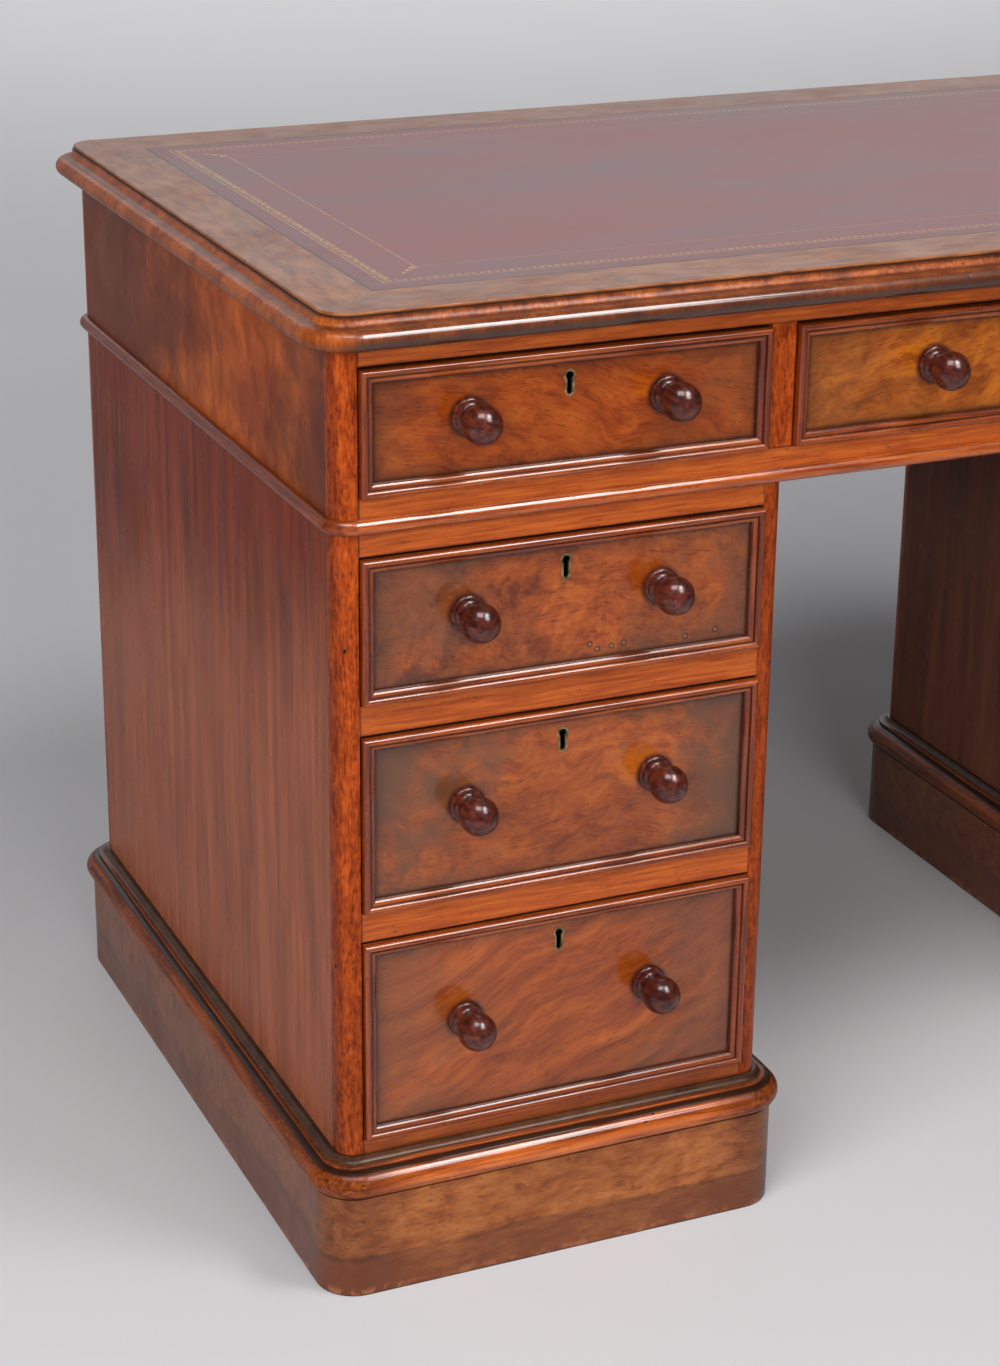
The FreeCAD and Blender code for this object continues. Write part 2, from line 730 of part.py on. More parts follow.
def make_drawer(kind, opening_width, opening_height, tails, knob_spread):
    """One drawer and its lock, as two groups of separate solids."""
    half_front = opening_width / 2 - dims.side_gap
    bottom = dims.running_gap
    top = opening_height - dims.head_gap
    side_top = top - dims.drawer_side_drop
    half_inside = half_front - dims.drawer_side_thickness
    panel_low = bottom + dims.drawer_bottom_rise
    panel_high = panel_low + dims.drawer_bottom_thickness
    half_panel = half_inside + dims.groove_depth

    panel = board(
        f"{kind}_bottom",
        (-half_panel, front_back - dims.groove_depth, panel_low),
        (half_panel, drawer_rear, panel_high),
    )
    back = board(
        f"{kind}_back",
        (-half_inside, drawer_rear - dims.drawer_back_thickness, panel_high),
        (half_inside, drawer_rear, side_top - dims.drawer_back_drop),
    )

    pitch = (side_top - bottom) / tails
    half_tail = pitch * TAIL_SHARE / 2
    side_stock = [
        board(
            f"{kind}_side_stock",
            (-half_front, front_back, bottom),
            (-half_inside, drawer_rear, side_top),
        )
    ]
    for order in range(tails):
        middle = bottom + pitch * (order + 0.5)
        tail = doc.addObject("Part::Wedge", f"{kind}_tail")
        bind(tail, Ymin=front_back - dims.tail_length, Ymax=front_back)
        bind(tail, Xmin=-half_front, X2min=-half_front, Xmax=-half_inside, X2max=-half_inside)
        bind(tail, Zmin=middle - half_tail, Zmax=middle + half_tail)
        half_root = half_tail - dims.tail_taper
        bind(tail, Z2min=middle - half_root, Z2max=middle + half_root)
        side_stock.append(tail)
    dovetailed = joined(f"{kind}_dovetailed", side_stock)
    dovetailed.Refine = True
    left_side = cut(f"{kind}_side", dovetailed, panel)
    right_side = doc.addObject("Part::Mirroring", f"{kind}_other_side")
    right_side.Source = left_side
    right_side.Normal = ACROSS

    key_middle = opening_height - dims.keyhole_drop
    lining_front = dims.field_recess - dims.lining_proud
    lining_back = dims.field_recess + dims.lining_depth
    key_back = front_back - dims.lock_depth + dims.key_depth
    face = dims.field_recess - dims.cut_overrun
    keyway = keyhole(f"{kind}_keyway", key_middle, dims.lining_wall, face, key_back)
    seat = keyhole(f"{kind}_seat", key_middle, 0, face, lining_back)
    lining_stock = keyhole(f"{kind}_lining_stock", key_middle, 0, lining_front, lining_back)
    lock_stock = lock_block(f"{kind}_lock_stock", top)
    lining = cut(f"{kind}_lining", lining_stock, keyway)
    lock = cut(f"{kind}_lock", lock_stock, keyway)

    knob_z = (bottom + top) / 2 + dims.knob_rise
    hole_radius = dims.spigot_radius + dims.spigot_clearance
    hole_end = front_back + dims.cut_overrun
    holes = [
        rod(
            f"{kind}_knob_hole",
            (sign * knob_spread, hole_end, knob_z),
            hole_radius,
            hole_end - face,
            QUARTER_TURN,
            ACROSS,
        )
        for sign in (-1, 1)
    ]
    knobs = [
        copy(knob, (sign * knob_spread, dims.field_recess, knob_z), QUARTER_TURN, ACROSS)
        for sign in (-1, 1)
    ]

    front_stock = board(
        f"{kind}_front_stock",
        (-half_front, dims.field_recess, bottom),
        (half_front, front_back, top),
    )
    tools = [left_side, right_side, panel, lock_stock, seat, keyway] + holes
    front = cut(f"{kind}_front", front_stock, joined(f"{kind}_front_cuts", tools))

    height = top - bottom
    level = moulding_strip(f"{kind}_level_strip", 2 * half_front)
    upright = moulding_strip(f"{kind}_upright_strip", height)
    recess = dims.field_recess
    middle = bottom + height / 2
    strips = [
        copy(level, (0, recess, bottom)),
        copy(level, (0, recess, top), HALF_TURN, INWARDS),
        copy(upright, (-half_front, recess, middle), QUARTER_TURN, INWARDS),
        copy(upright, (half_front, recess, middle), -QUARTER_TURN, INWARDS),
    ]
    wood = [front, left_side, right_side, back, panel] + strips + knobs
    return group(f"{kind}_drawer", wood), group(f"{kind}_brass", [lock, lining])


def make_drawers():
    narrow = dims.drawer_opening_width
    spread = dims.knob_spread
    side = make_drawer("side", narrow, dims.frieze_opening, FEW_TAILS, spread)
    wide = make_drawer(
        "wide", wide_opening, dims.frieze_opening, FEW_TAILS, dims.wide_knob_spread
    )
    high = make_drawer("high", narrow, dims.high_opening, FEW_TAILS, spread)
    middle = make_drawer("middle", narrow, dims.middle_opening, MORE_TAILS, spread)
    low = make_drawer("low", narrow, dims.low_opening, MORE_TAILS, spread)
    drawers = [
        ("frieze_drawer_left", side, -frieze_drawer_x, frieze_sill),
        ("frieze_drawer_centre", wide, 0, frieze_sill),
        ("frieze_drawer_right", side, frieze_drawer_x, frieze_sill),
    ]
    for hand, x in (("left", -pedestal_x), ("right", pedestal_x)):
        drawers.append((f"{hand}_drawer_top", high, x, high_sill))
        drawers.append((f"{hand}_drawer_middle", middle, x, middle_sill))
        drawers.append((f"{hand}_drawer_bottom", low, x, low_sill))
    for face, y, turn in (("front", -half_depth, 0), ("back", half_depth, HALF_TURN)):
        for name, (wood, brass), x, z in drawers:
            node(f"{face}_{name}", [copy(wood, (x, y, z), turn)])
            node(f"{face}_{name}_lock", [copy(brass, (x, y, z), turn)])


def solids_expected(sub_part):
    """Every piece of a sub-part is one valid closed solid."""
    shape = sub_part.Shape
    return not shape.isNull() and shape.isValid() and shape.Solids and all(
        solid.isValid() and solid.Volume > 0 for solid in shape.Solids
    )


make_top()
make_top_edge()
make_frieze()
make_frieze_inside()
make_bead()
make_pegs()
make_pedestals()
make_drawers()
doc.recompute()

failed = [thing.Label for thing in doc.Objects if {"Invalid", "Error"} & set(thing.State)]
unsound = [sub_part.Label for sub_part in nodes if not solids_expected(sub_part)]
if failed or unsound:
    raise RuntimeError(f"failed objects: {failed}; unsound shapes: {unsound}")

os.makedirs("parts", exist_ok=True)
for sub_part in nodes:
    sub_part.Shape.exportStep(f"parts/{sub_part.Label}.step")
    print(sub_part.Label, len(sub_part.Shape.Solids), round(sub_part.Shape.Volume))
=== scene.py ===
import math
import random

import bpy
import numpy as np
from mathutils import Euler, Matrix, Vector


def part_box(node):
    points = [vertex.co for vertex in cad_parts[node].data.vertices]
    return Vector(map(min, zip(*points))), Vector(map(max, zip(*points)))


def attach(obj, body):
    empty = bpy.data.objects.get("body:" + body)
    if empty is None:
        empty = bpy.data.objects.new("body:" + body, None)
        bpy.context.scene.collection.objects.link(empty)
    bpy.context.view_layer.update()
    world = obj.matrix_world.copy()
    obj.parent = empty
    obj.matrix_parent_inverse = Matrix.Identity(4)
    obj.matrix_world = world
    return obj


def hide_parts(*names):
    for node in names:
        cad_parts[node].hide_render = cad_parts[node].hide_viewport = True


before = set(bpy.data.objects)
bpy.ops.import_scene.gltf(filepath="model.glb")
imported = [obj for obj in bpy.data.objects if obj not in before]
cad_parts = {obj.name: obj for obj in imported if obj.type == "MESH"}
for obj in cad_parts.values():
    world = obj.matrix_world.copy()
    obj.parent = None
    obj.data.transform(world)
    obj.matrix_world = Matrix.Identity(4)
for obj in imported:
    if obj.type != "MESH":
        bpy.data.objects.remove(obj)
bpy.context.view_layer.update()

# Partners desk in mahogany and figured walnut, with a tooled leather top and eighteen drawers.
# Lengths are metres. The front face looks along -Y, +X runs along the desk and +Z is up.

# Sizes read from the frame
HALF_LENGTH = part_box("frieze_corner_posts")[1].x
HALF_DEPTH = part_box("frieze_base_rails")[1].y
PLINTH_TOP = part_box("left_plinth")[1].z
PEDESTAL_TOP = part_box("left_pedestal_posts")[1].z
FRIEZE_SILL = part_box("frieze_base_rails")[1].z
FRIEZE_HEAD, TOP_UNDERSIDE = (corner.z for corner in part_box("frieze_top_rails"))
TOP_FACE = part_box("top_board")[1].z
PEDESTAL_X = sum(corner.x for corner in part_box("right_pedestal_posts")) / 2
HALF_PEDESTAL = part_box("right_pedestal_posts")[1].x - PEDESTAL_X

# Sizes shared with the construction
POST_RADIUS = 0.015
POST_WIDTH = 0.0175
SIDE_THICKNESS = 0.015
RAIL_DEPTH = 0.045
DIVIDER = 0.020
CROSS_BOARD = 0.012
ARRIS_OVERHANG = 0.0055
ARRIS_DEPTH = 0.003
TOP_ROLL = 0.015
TOP_ROLL_OVERHANG = 0.021
BEAD_HEIGHT = 0.011
BEAD_PROJECTION = 0.0065
PLINTH_OVERHANG = 0.0155
PLINTH_THICKNESS = 0.018
PLINTH_ROLL = 0.022
PLINTH_ROLL_OVERHANG = 0.0215
PLINTH_FILLET = 0.003
PLINTH_HOLLOW = 0.005
PLINTH_NECK = 0.003
RUNNING_GAP = 0.0003
HEAD_GAP = 0.0018
SIDE_GAP = 0.001
FIELD_RECESS = 0.001
FRONT_THICKNESS = 0.020
LINING_THICKNESS = 0.009
SIDE_DROP = 0.004
BACK_THICKNESS = 0.008
BACK_DROP = 0.006
BOTTOM_RISE = 0.010
BOTTOM_THICKNESS = 0.006
TAIL_LENGTH = 0.014
TAIL_TAPER = 0.003
TAIL_SHARE = 0.62
MOULD_BEAD = 0.005
MOULD_STEM = 0.0045
MOULD_QUIRK = 0.001
MOULD_QUIRK_RISE = 0.0005
MOULD_OVOLO = 0.004
MOULD_LIP = 0.001
MOULD_WIDTH = MOULD_BEAD + MOULD_QUIRK + MOULD_OVOLO
KNOB_SPREAD = 0.076
WIDE_KNOB_SPREAD = 0.118
KNOB_RISE = 0.004
KNOB_BASE_RADIUS = 0.014
KNOB_BASE_HEIGHT = 0.0042
KNOB_BASE_ROUND = 0.0022
KNOB_NECK_RADIUS = 0.0085
KNOB_BALL_RADIUS = 0.0145
KNOB_PROJECTION = 0.038
SPIGOT_RADIUS = 0.005
SPIGOT_LENGTH = 0.018
LOCK_WIDTH = 0.050
LOCK_HEIGHT = 0.038
LOCK_DEPTH = 0.011
SELVEDGE_WIDTH = 0.064
SELVEDGE_DEPTH = 0.014
SELVEDGE_THICKNESS = 0.0025
KEYHOLE_DROP = 0.027
KEYHOLE_HEIGHT = 0.020
KEYHOLE_ROUND = 0.0048
KEYHOLE_LEG = 0.0038
LINING_WALL = 0.0017
LINING_DEPTH = 0.006
LINING_PROUD = 0.0003
FRONT_BACK = FIELD_RECESS + FRONT_THICKNESS

# Softened edges, and steps of the rounded forms
SOFT_EDGE = 0.0006
FINE_EDGE = 0.0003
ARRIS_SOFT = 0.0011
LEATHER_SOFT = 0.0004
EDGE_STEPS = 2
SOFT_STEPS = 3
ARRIS_STEPS = 4
ARC_STEPS = 8
CORNER_STEPS = 10
TURNED_STEPS = 44
SMOOTH_ANGLE = math.radians(38)
CUT_OVERRUN = 0.004
MERGE_DISTANCE = 1e-6

# Each piece of wood is taken from a place on the plank up to this far from its middle
PLANK_REACH = 9

QUARTER = math.pi / 2
draws = random.Random(1870)


# Modelling


def begin():
    """Leaves edit mode and deselects everything."""
    if bpy.context.mode != "OBJECT":
        bpy.ops.object.mode_set(mode="OBJECT")
    bpy.ops.object.select_all(action="DESELECT")


def edit(piece):
    """Opens one piece in edit mode with all of it selected."""
    begin()
    piece.select_set(True)
    bpy.context.view_layer.objects.active = piece
    bpy.ops.object.mode_set(mode="EDIT")
    bpy.ops.mesh.select_all(action="SELECT")


def cube(name, low, high):
    begin()
    low, high = Vector(low), Vector(high)
    bpy.ops.mesh.primitive_cube_add(size=1, location=(low + high) / 2, scale=high - low)
    piece = bpy.context.object
    piece.name = name
    bpy.ops.object.transform_apply()
    return piece


def soften(piece, edge, steps=EDGE_STEPS):
    """Rounds off all the edges of a piece."""
    edit(piece)
    bpy.ops.mesh.bevel(offset=edge, segments=steps, affect="EDGES")
    begin()


def board(name, low, high, along, edge=SOFT_EDGE):
    """A sawn and planed board with softened edges. Its grain runs along one axis."""
    piece = cube(name, *(zip(*(sorted(pair) for pair in zip(low, high)))))
    soften(piece, edge)
    lay_reach(piece)
    return lay_grain(piece, along)


class Pen:
    """Draws an outline on an upright plane, x to the right and z up, as a chain of vertices."""

    def __init__(self, name, x, z):
        self.at = Vector((x, 0, z))
        begin()
        bpy.ops.mesh.primitive_plane_add(size=1, location=self.at)
        self.piece = bpy.context.object
        self.piece.name = name
        bpy.ops.object.transform_apply()
        edit(self.piece)
        bpy.ops.mesh.merge(type="CENTER")

    def line(self, x, z):
        step = Vector((x, 0, z)) - self.at
        bpy.ops.mesh.extrude_region_move(TRANSFORM_OT_translate={"value": step})
        self.at += step
        return self

    def arc(self, x, z, degrees, steps=ARC_STEPS):
        """Turns about (x, z), anticlockwise where degrees is positive."""
        middle = Vector((x, 0, z))
        angle = math.radians(degrees)
        bpy.ops.mesh.spin(steps=steps, angle=angle, center=middle, axis=(0, 1, 0))
        self.at = middle + Matrix.Rotation(-angle, 3, "Y") @ (self.at - middle)
        return self

    def face(self):
        bpy.ops.mesh.select_all(action="SELECT")
        bpy.ops.mesh.remove_doubles(threshold=MERGE_DISTANCE)
        bpy.ops.mesh.edge_face_add()

    def prism(self, length):
        """Closes the outline and gives it a length along y, centred on the drawing."""
        self.face()
        bpy.ops.mesh.extrude_region_move(TRANSFORM_OT_translate={"value": (0, length, 0)})
        bpy.ops.mesh.select_all(action="SELECT")
        bpy.ops.transform.translate(value=(0, -length / 2, 0))
        return self.done()

    def turned(self, degrees, steps, closed=False):
        """Turns the outline about the upright axis through the origin."""
        if closed:
            self.face()
            bpy.ops.mesh.delete(type="ONLY_FACE")
        bpy.ops.mesh.select_all(action="SELECT")
        bpy.ops.mesh.spin(steps=steps, angle=-math.radians(degrees), center=(0, 0, 0), axis=(0, 0, 1))
        bpy.ops.mesh.select_all(action="SELECT")
        bpy.ops.mesh.remove_doubles(threshold=MERGE_DISTANCE)
        bpy.ops.mesh.fill_holes(sides=0)
        return self.done()

    def done(self):
        bpy.ops.mesh.select_all(action="SELECT")
        bpy.ops.mesh.normals_make_consistent(inside=False)
        begin()
        return self.piece


def vector_layer(piece, name, values, domain):
    layer = piece.data.attributes.get(name)
    if layer is None:
        layer = piece.data.attributes.new(name, "FLOAT_VECTOR", domain)
    layer.data.foreach_set("vector", np.asarray(values, np.float32).ravel())


def vertex_places(piece):
    places = np.empty(len(piece.data.vertices) * 3, np.float32)
    piece.data.vertices.foreach_get("co", places)
    return places.reshape(-1, 3)


def corner_places(piece):
    """The place of each face corner."""
    numbers = np.empty(len(piece.data.loops), np.int32)
    piece.data.loops.foreach_get("vertex_index", numbers)
    return vertex_places(piece)[numbers]


def chance_shift():
    """A place on the plank, drawn by chance."""
    return np.array([draws.uniform(-PLANK_REACH, PLANK_REACH) for _ in range(3)], np.float32)


GRAIN_ORDER = {"x": (0, 1, 2), "y": (1, 2, 0), "z": (2, 0, 1)}


def lay_grain(piece, along):
    """Stores a piece's places on the plank that it is cut from, x along the grain."""
    values = corner_places(piece)[:, GRAIN_ORDER[along]] + chance_shift()
    vector_layer(piece, "grain", values, "CORNER")
    return piece


def lay_reach(piece):
    """Stores each point's place from the middle of a board, and the board's half sizes."""
    at = vertex_places(piece)
    low, high = at.min(0), at.max(0)
    vector_layer(piece, "place", at - (low + high) / 2, "POINT")
    vector_layer(piece, "reach", np.tile((high - low) / 2, (len(at), 1)), "POINT")


def vary_grain(piece, turn=0.0):
    """Takes a copied piece from another part of the plank, turned in the plane of its face."""
    layer = piece.data.attributes["grain"]
    values = np.empty(len(layer.data) * 3, np.float32)
    layer.data.foreach_get("vector", values)
    values = values.reshape(-1, 3)
    middle = values.mean(0)
    turned = (values - middle) @ np.array(Matrix.Rotation(turn, 3, "Y"), np.float32)
    vector_layer(piece, "grain", turned + chance_shift(), "CORNER")


def moved(piece, matrix):
    piece.data.transform(matrix)
    if matrix.determinant() < 0:
        piece.data.flip_normals()
    return piece


def copied(master, name, matrix):
    piece = master.copy()
    piece.name = name
    piece.data = master.data.copy()
    bpy.context.scene.collection.objects.link(piece)
    return moved(piece, matrix)


def joined(name, shells):
    begin()
    for shell in shells:
        shell.select_set(True)
    bpy.context.view_layer.objects.active = shells[0]
    bpy.ops.object.join()
    shells[0].name = name
    shells[0].data.name = name
    return shells[0]


def cut_away(piece, tool):
    cutting = piece.modifiers.new("cut", "BOOLEAN")
    cutting.object = tool
    cutting.solver = "EXACT"
    begin()
    bpy.context.view_layer.objects.active = piece
    bpy.ops.object.modifier_apply(modifier=cutting.name)
    discard(tool)


def discard(*pieces):
    for piece in pieces:
        bpy.data.objects.remove(piece)


def smooth(piece):
    """Shades the round faces smooth and keeps the flat ones flat."""
    begin()
    piece.select_set(True)
    bpy.context.view_layer.objects.active = piece
    bpy.ops.object.shade_smooth_by_angle(angle=SMOOTH_ANGLE)
    weighted = piece.modifiers.new("flat_faces", "WEIGHTED_NORMAL")
    weighted.keep_sharp = True
    bpy.ops.object.modifier_apply(modifier=weighted.name)


def finished(piece, finish, *nodes, body="carcass", slot="mahogany"):
    """Gives a piece its finish, the body that it moves with and the nodes that it stands for."""
    smooth(piece)
    piece.data.materials.clear()
    piece.data.materials.append(finish)
    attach(piece, body)
    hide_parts(*nodes)


# Nodes of the finishes


def srgb(red, green, blue):
    """A colour as seen on a screen, in steps of 255, as the shader's linear light."""
    return tuple(
        part / 12.92 if part <= 0.04045 else ((part + 0.055) / 1.055) ** 2.4
        for part in (red / 255, green / 255, blue / 255)
    ) + (1.0,)


class Value:
    """A number that changes over a surface. Arithmetic with it adds nodes to its graph."""

    def __init__(self, graph, socket):
        self.graph = graph
        self.socket = socket

    def __add__(self, other):
        return self.graph.calculate("ADD", self, other)

    def __sub__(self, other):
        return self.graph.calculate("SUBTRACT", self, other)

    def __rsub__(self, other):
        return self.graph.calculate("SUBTRACT", other, self)

    def __mul__(self, other):
        return self.graph.calculate("MULTIPLY", self, other)

    def __truediv__(self, other):
        return self.graph.calculate("DIVIDE", self, other)

    def __abs__(self):
        return self.graph.calculate("ABSOLUTE", self)


class Graph:
    """Adds linked nodes to the tree of a finish, of a group or of the world."""

    def __init__(self, tree):
        self.tree = tree

    def put(self, value, socket):
        """Links a value to a socket, or sets the socket where the value is a constant."""
        value = getattr(value, "socket", value)
        if isinstance(value, bpy.types.NodeSocket):
            self.tree.links.new(value, socket)
        else:
            socket.default_value = value

    def add(self, kind, inputs=(), **settings):
        made = self.tree.nodes.new("ShaderNode" + kind)
        for key, value in settings.items():
            setattr(made, key, value)
        for key, value in dict(inputs).items():
            self.put(value, made.inputs[key])
        return made

    def number(self, output, kind, inputs, **settings):
        """Adds a node and returns one of its outputs as a value."""
        return Value(self, self.add(kind, inputs, **settings).outputs[output])

    def calculate(self, operation, first, second=0.0, clamp=False):
        return self.number(0, "Math", {0: first, 1: second}, operation=operation, use_clamp=clamp)

    def larger(self, first, second):
        return self.calculate("MAXIMUM", first, second)

    def less(self, first, second):
        """1 where the first is less than the second, and 0 elsewhere."""
        return self.calculate("LESS_THAN", first, second)

    def vector(self, operation, first, second=(0, 0, 0)):
        return self.add("VectorMath", {0: first, 1: second}, operation=operation).outputs[0]

    def lengthened(self, at, factor):
        return self.add("VectorMath", {0: at, "Scale": factor}, operation="SCALE").outputs[0]

    def scaled(self, at, scale):
        return self.vector("MULTIPLY", at, scale)

    def length(self, at):
        return self.number("Value", "VectorMath", {0: at}, operation="LENGTH")

    def point(self, x, y, z=0.0):
        return self.add("CombineXYZ", {0: x, 1: y, 2: z}).outputs[0]

    def parts(self, at):
        return [Value(self, part) for part in self.add("SeparateXYZ", {0: at}).outputs]

    def noise(self, at, scale, detail=4.0, roughness=0.6, output="Fac"):
        inputs = {"Vector": at, "Scale": scale, "Detail": detail, "Roughness": roughness}
        return self.number(output, "TexNoise", inputs)

    def ease(self, value, low, high):
        """0 below low and 1 above high, with a soft step between them."""
        inputs = {"Value": value, "From Min": low, "From Max": high}
        return self.number(0, "MapRange", inputs, interpolation_type="SMOOTHSTEP")

    def fade(self, value, low, high):
        """1 below low and 0 above high, with a soft step between them."""
        return 1.0 - self.ease(value, low, high)

    def band(self, value, middle, low, high):
        """1 within low of the middle and 0 further than high from it."""
        return self.fade(abs(value - middle), low, high)

    def spread(self, value, low, high, to_low, to_high):
        inputs = {"Value": value, "From Min": low, "From Max": high, "To Min": to_low, "To Max": to_high}
        return self.number(0, "MapRange", inputs)

    def mix(self, factor, first, second, blend="MIX"):
        inputs = {0: factor, 6: first, 7: second}
        return self.add("Mix", inputs, data_type="RGBA", blend_type=blend).outputs[2]

    def ramp(self, factor, *stops):
        made = self.add("ValToRGB", {"Fac": factor})
        points = made.color_ramp.elements
        while len(points) < len(stops):
            points.new(0.5)
        for point, (place, colour) in zip(points, stops):
            point.position = place
            point.color = colour
        return made.outputs["Color"]

    def attribute(self, name):
        return self.add("Attribute", attribute_name=name).outputs["Vector"]

    def grain_place(self):
        return self.attribute("grain")

    def object_place(self):
        return self.add("TexCoord").outputs["Object"]

    def group(self, tree, inputs):
        made = self.add("Group", inputs, node_tree=tree)
        return {socket.name: Value(self, socket) for socket in made.outputs}


def new_group(name, vectors, numbers, outputs):
    """Starts a node group and returns its graph, its inputs as values and its output sockets."""
    tree = bpy.data.node_groups.new(name, "ShaderNodeTree")
    for in_out, kind, sockets in (
        ("INPUT", "NodeSocketVector", vectors),
        ("INPUT", "NodeSocketFloat", numbers),
        ("OUTPUT", "NodeSocketFloat", outputs),
    ):
        for socket in sockets:
            tree.interface.new_socket(socket, in_out=in_out, socket_type=kind)
    graph = Graph(tree)
    sockets = tree.nodes.new("NodeGroupInput").outputs
    inside = [Value(graph, sockets[title]) for title in (*vectors, *numbers)]
    return graph, inside, tree.nodes.new("NodeGroupOutput").inputs


def make_wood_figure():
    """Streaks, pores, mottles and veins of a piece of wood. Burr curls the streaks into swirls."""
    graph, (at, fineness, warp, burr, mottle), outside = new_group(
        "wood_figure", ["Vector"], ["Streaks", "Warp", "Burr", "Mottle"],
        ["Figure", "Pores", "Clouds", "Veins"]
    )
    half = (0.5, 0.5, 0.5)
    wander = graph.vector("SUBTRACT", graph.noise(at, 7.0, 2.0, 0.5, output="Color"), half)
    bent = graph.vector("ADD", at, graph.lengthened(wander, warp))
    curl = graph.vector("SUBTRACT", graph.noise(bent, 26.0, 3.0, 0.5, output="Color"), half)
    curled = graph.vector("ADD", bent, graph.lengthened(curl, warp * burr))
    along = graph.spread(burr, 0.0, 1.0, 0.05, 0.7)
    drawn = graph.scaled(curled, graph.point(along, 1.0, 1.0))
    streaks = graph.noise(graph.lengthened(drawn, fineness), 1.0, 5.0, 0.58)
    fibres = graph.noise(graph.scaled(bent, (18, 620, 620)), 1.0, 3.0, 0.6)
    graph.put(streaks + (fibres - 0.5) * 0.45, outside["Figure"])
    pores = graph.noise(graph.scaled(bent, (85, 780, 780)), 1.0, 2.0, 0.6)
    graph.put(graph.ease(pores, 0.59, 0.7), outside["Pores"])
    graph.put(graph.noise(drawn, mottle, 4.0, 0.62), outside["Clouds"])
    rings = graph.noise(drawn, 17.0, 3.0, 0.5)
    waves = graph.calculate("SINE", rings * 42.0)
    places = graph.ease(graph.noise(at, 12.0, 3.0, 0.6), 0.47, 0.62)
    graph.put(graph.ease(waves, 0.55, 1.0) * places, outside["Veins"])
    return graph.tree


def make_edge_dirt_and_shade():
    """A mask of dirt and old polish along the edges of a field, ragged at the inner side, that also
    serves as painted shade where a field meets its moulding.
    """
    graph, (place, reach, width, ragged), outside = new_group(
        "edge_dirt_and_shade", ["Place", "Reach"], ["Width", "Ragged"], ["Mask", "Distance"]
    )
    gap = graph.parts(graph.vector("SUBTRACT", reach, graph.vector("ABSOLUTE", place)))
    distance = graph.calculate("MINIMUM", gap[0], gap[1])
    rag = graph.noise(place, 45.0) - 0.5
    graph.put(graph.fade(distance + rag * ragged, 0.0, width), outside["Mask"])
    graph.put(distance, outside["Distance"])
    return graph.tree


def make_polish_wear():
    """Old hand polish: slow ripples, faint scratches and duller patches."""
    graph, (at, roughness), outside = new_group(
        "polish_wear", ["Vector"], ["Roughness"], ["Roughness", "Height"]
    )
    dull = graph.spread(graph.noise(at, 22.0), 0.3, 0.7, -0.05, 0.07)
    graph.put(roughness + dull, outside["Roughness"])
    ripples = graph.noise(at, 60.0, 2.0, 0.5)
    scratches = graph.noise(graph.scaled(at, (45, 900, 900)), 1.0, 1.0, 0.5)
    graph.put(ripples + scratches * 0.16, outside["Height"])
    return graph.tree


def make_knocks():
    """Small dark dents and flecks, denser in some places than in others."""
    graph, (at, amount), outside = new_group("knocks", ["Vector"], ["Amount"], ["Mask"])
    cells = graph.add("TexVoronoi", {"Vector": graph.scaled(at, (130, 240, 240)), "Scale": 1.0})
    spots = graph.fade(cells.outputs["Distance"], 0.12, 0.34)
    chosen = graph.ease(graph.parts(cells.outputs["Color"])[0], 0.55, 0.8)
    places = graph.ease(graph.noise(at, 16.0, 2.0, 0.5), 0.5, 0.66)
    mask = spots * chosen * places
    graph.put(graph.calculate("MULTIPLY", mask, amount, clamp=True), outside["Mask"])
    return graph.tree


WOOD_FIGURE = make_wood_figure()
EDGE_DIRT_AND_SHADE = make_edge_dirt_and_shade()
POLISH_WEAR = make_polish_wear()
KNOCKS = make_knocks()
# Near-black colour of dirt in joints and dents, also used as painted shade in creases, under rolls and
# at contacts
GRIME_AND_SHADE = srgb(34, 19, 12)

# Places of marks, depths of relief, and what dulled polish gains and keeps
FRIEZE_PATCH_Y = -0.1
TIDE_HEIGHT = 0.034
RIPPLE_DEPTH = 0.00012
KNOCK_SHARE = 1.2
PORE_SHARE = 0.12
PEBBLE_SCALE = 900.0
PEBBLE_DEPTH = 0.0002
TARNISH_DEPTH = 0.0001
DULL_ROUGHNESS = 0.12
DULL_COAT_SHARE = 0.16


class Finish(Graph):
    """A material under construction, with its shader and its colour so far."""

    def __init__(self, name, coat=0.0, coat_roughness=0.1, specular=0.5):
        self.material = bpy.data.materials.new(name)
        self.material.use_nodes = True
        super().__init__(self.material.node_tree)
        self.shader = self.tree.nodes["Principled BSDF"]
        self.colour = None
        self.show("Coat Weight", coat)
        self.show("Coat Roughness", coat_roughness)
        self.show("Specular IOR Level", specular)

    def show(self, socket, value):
        self.put(value, self.shader.inputs[socket])

    def bump(self, height, depth, strength=1.0):
        made = self.add("Bump", {"Height": height, "Distance": depth, "Strength": strength})
        self.show("Normal", made.outputs["Normal"])

    def stain(self, mask, colour):
        """Covers the colour so far with another one where the mask is 1."""
        self.colour = self.mix(mask, self.colour, colour)

    def tint(self, mask, red, green, blue):
        """Multiplies the colour so far, channel by channel, where the mask is 1."""
        self.colour = self.mix(mask, self.colour, (red, green, blue, 1), "MULTIPLY")

    def edge_dirt_and_shade(self, place, reach, width, ragged):
        inputs = {"Place": place, "Reach": reach, "Width": width, "Ragged": ragged}
        return self.group(EDGE_DIRT_AND_SHADE, inputs)

    def done(self):
        self.show("Base Color", self.colour)
        return self.material


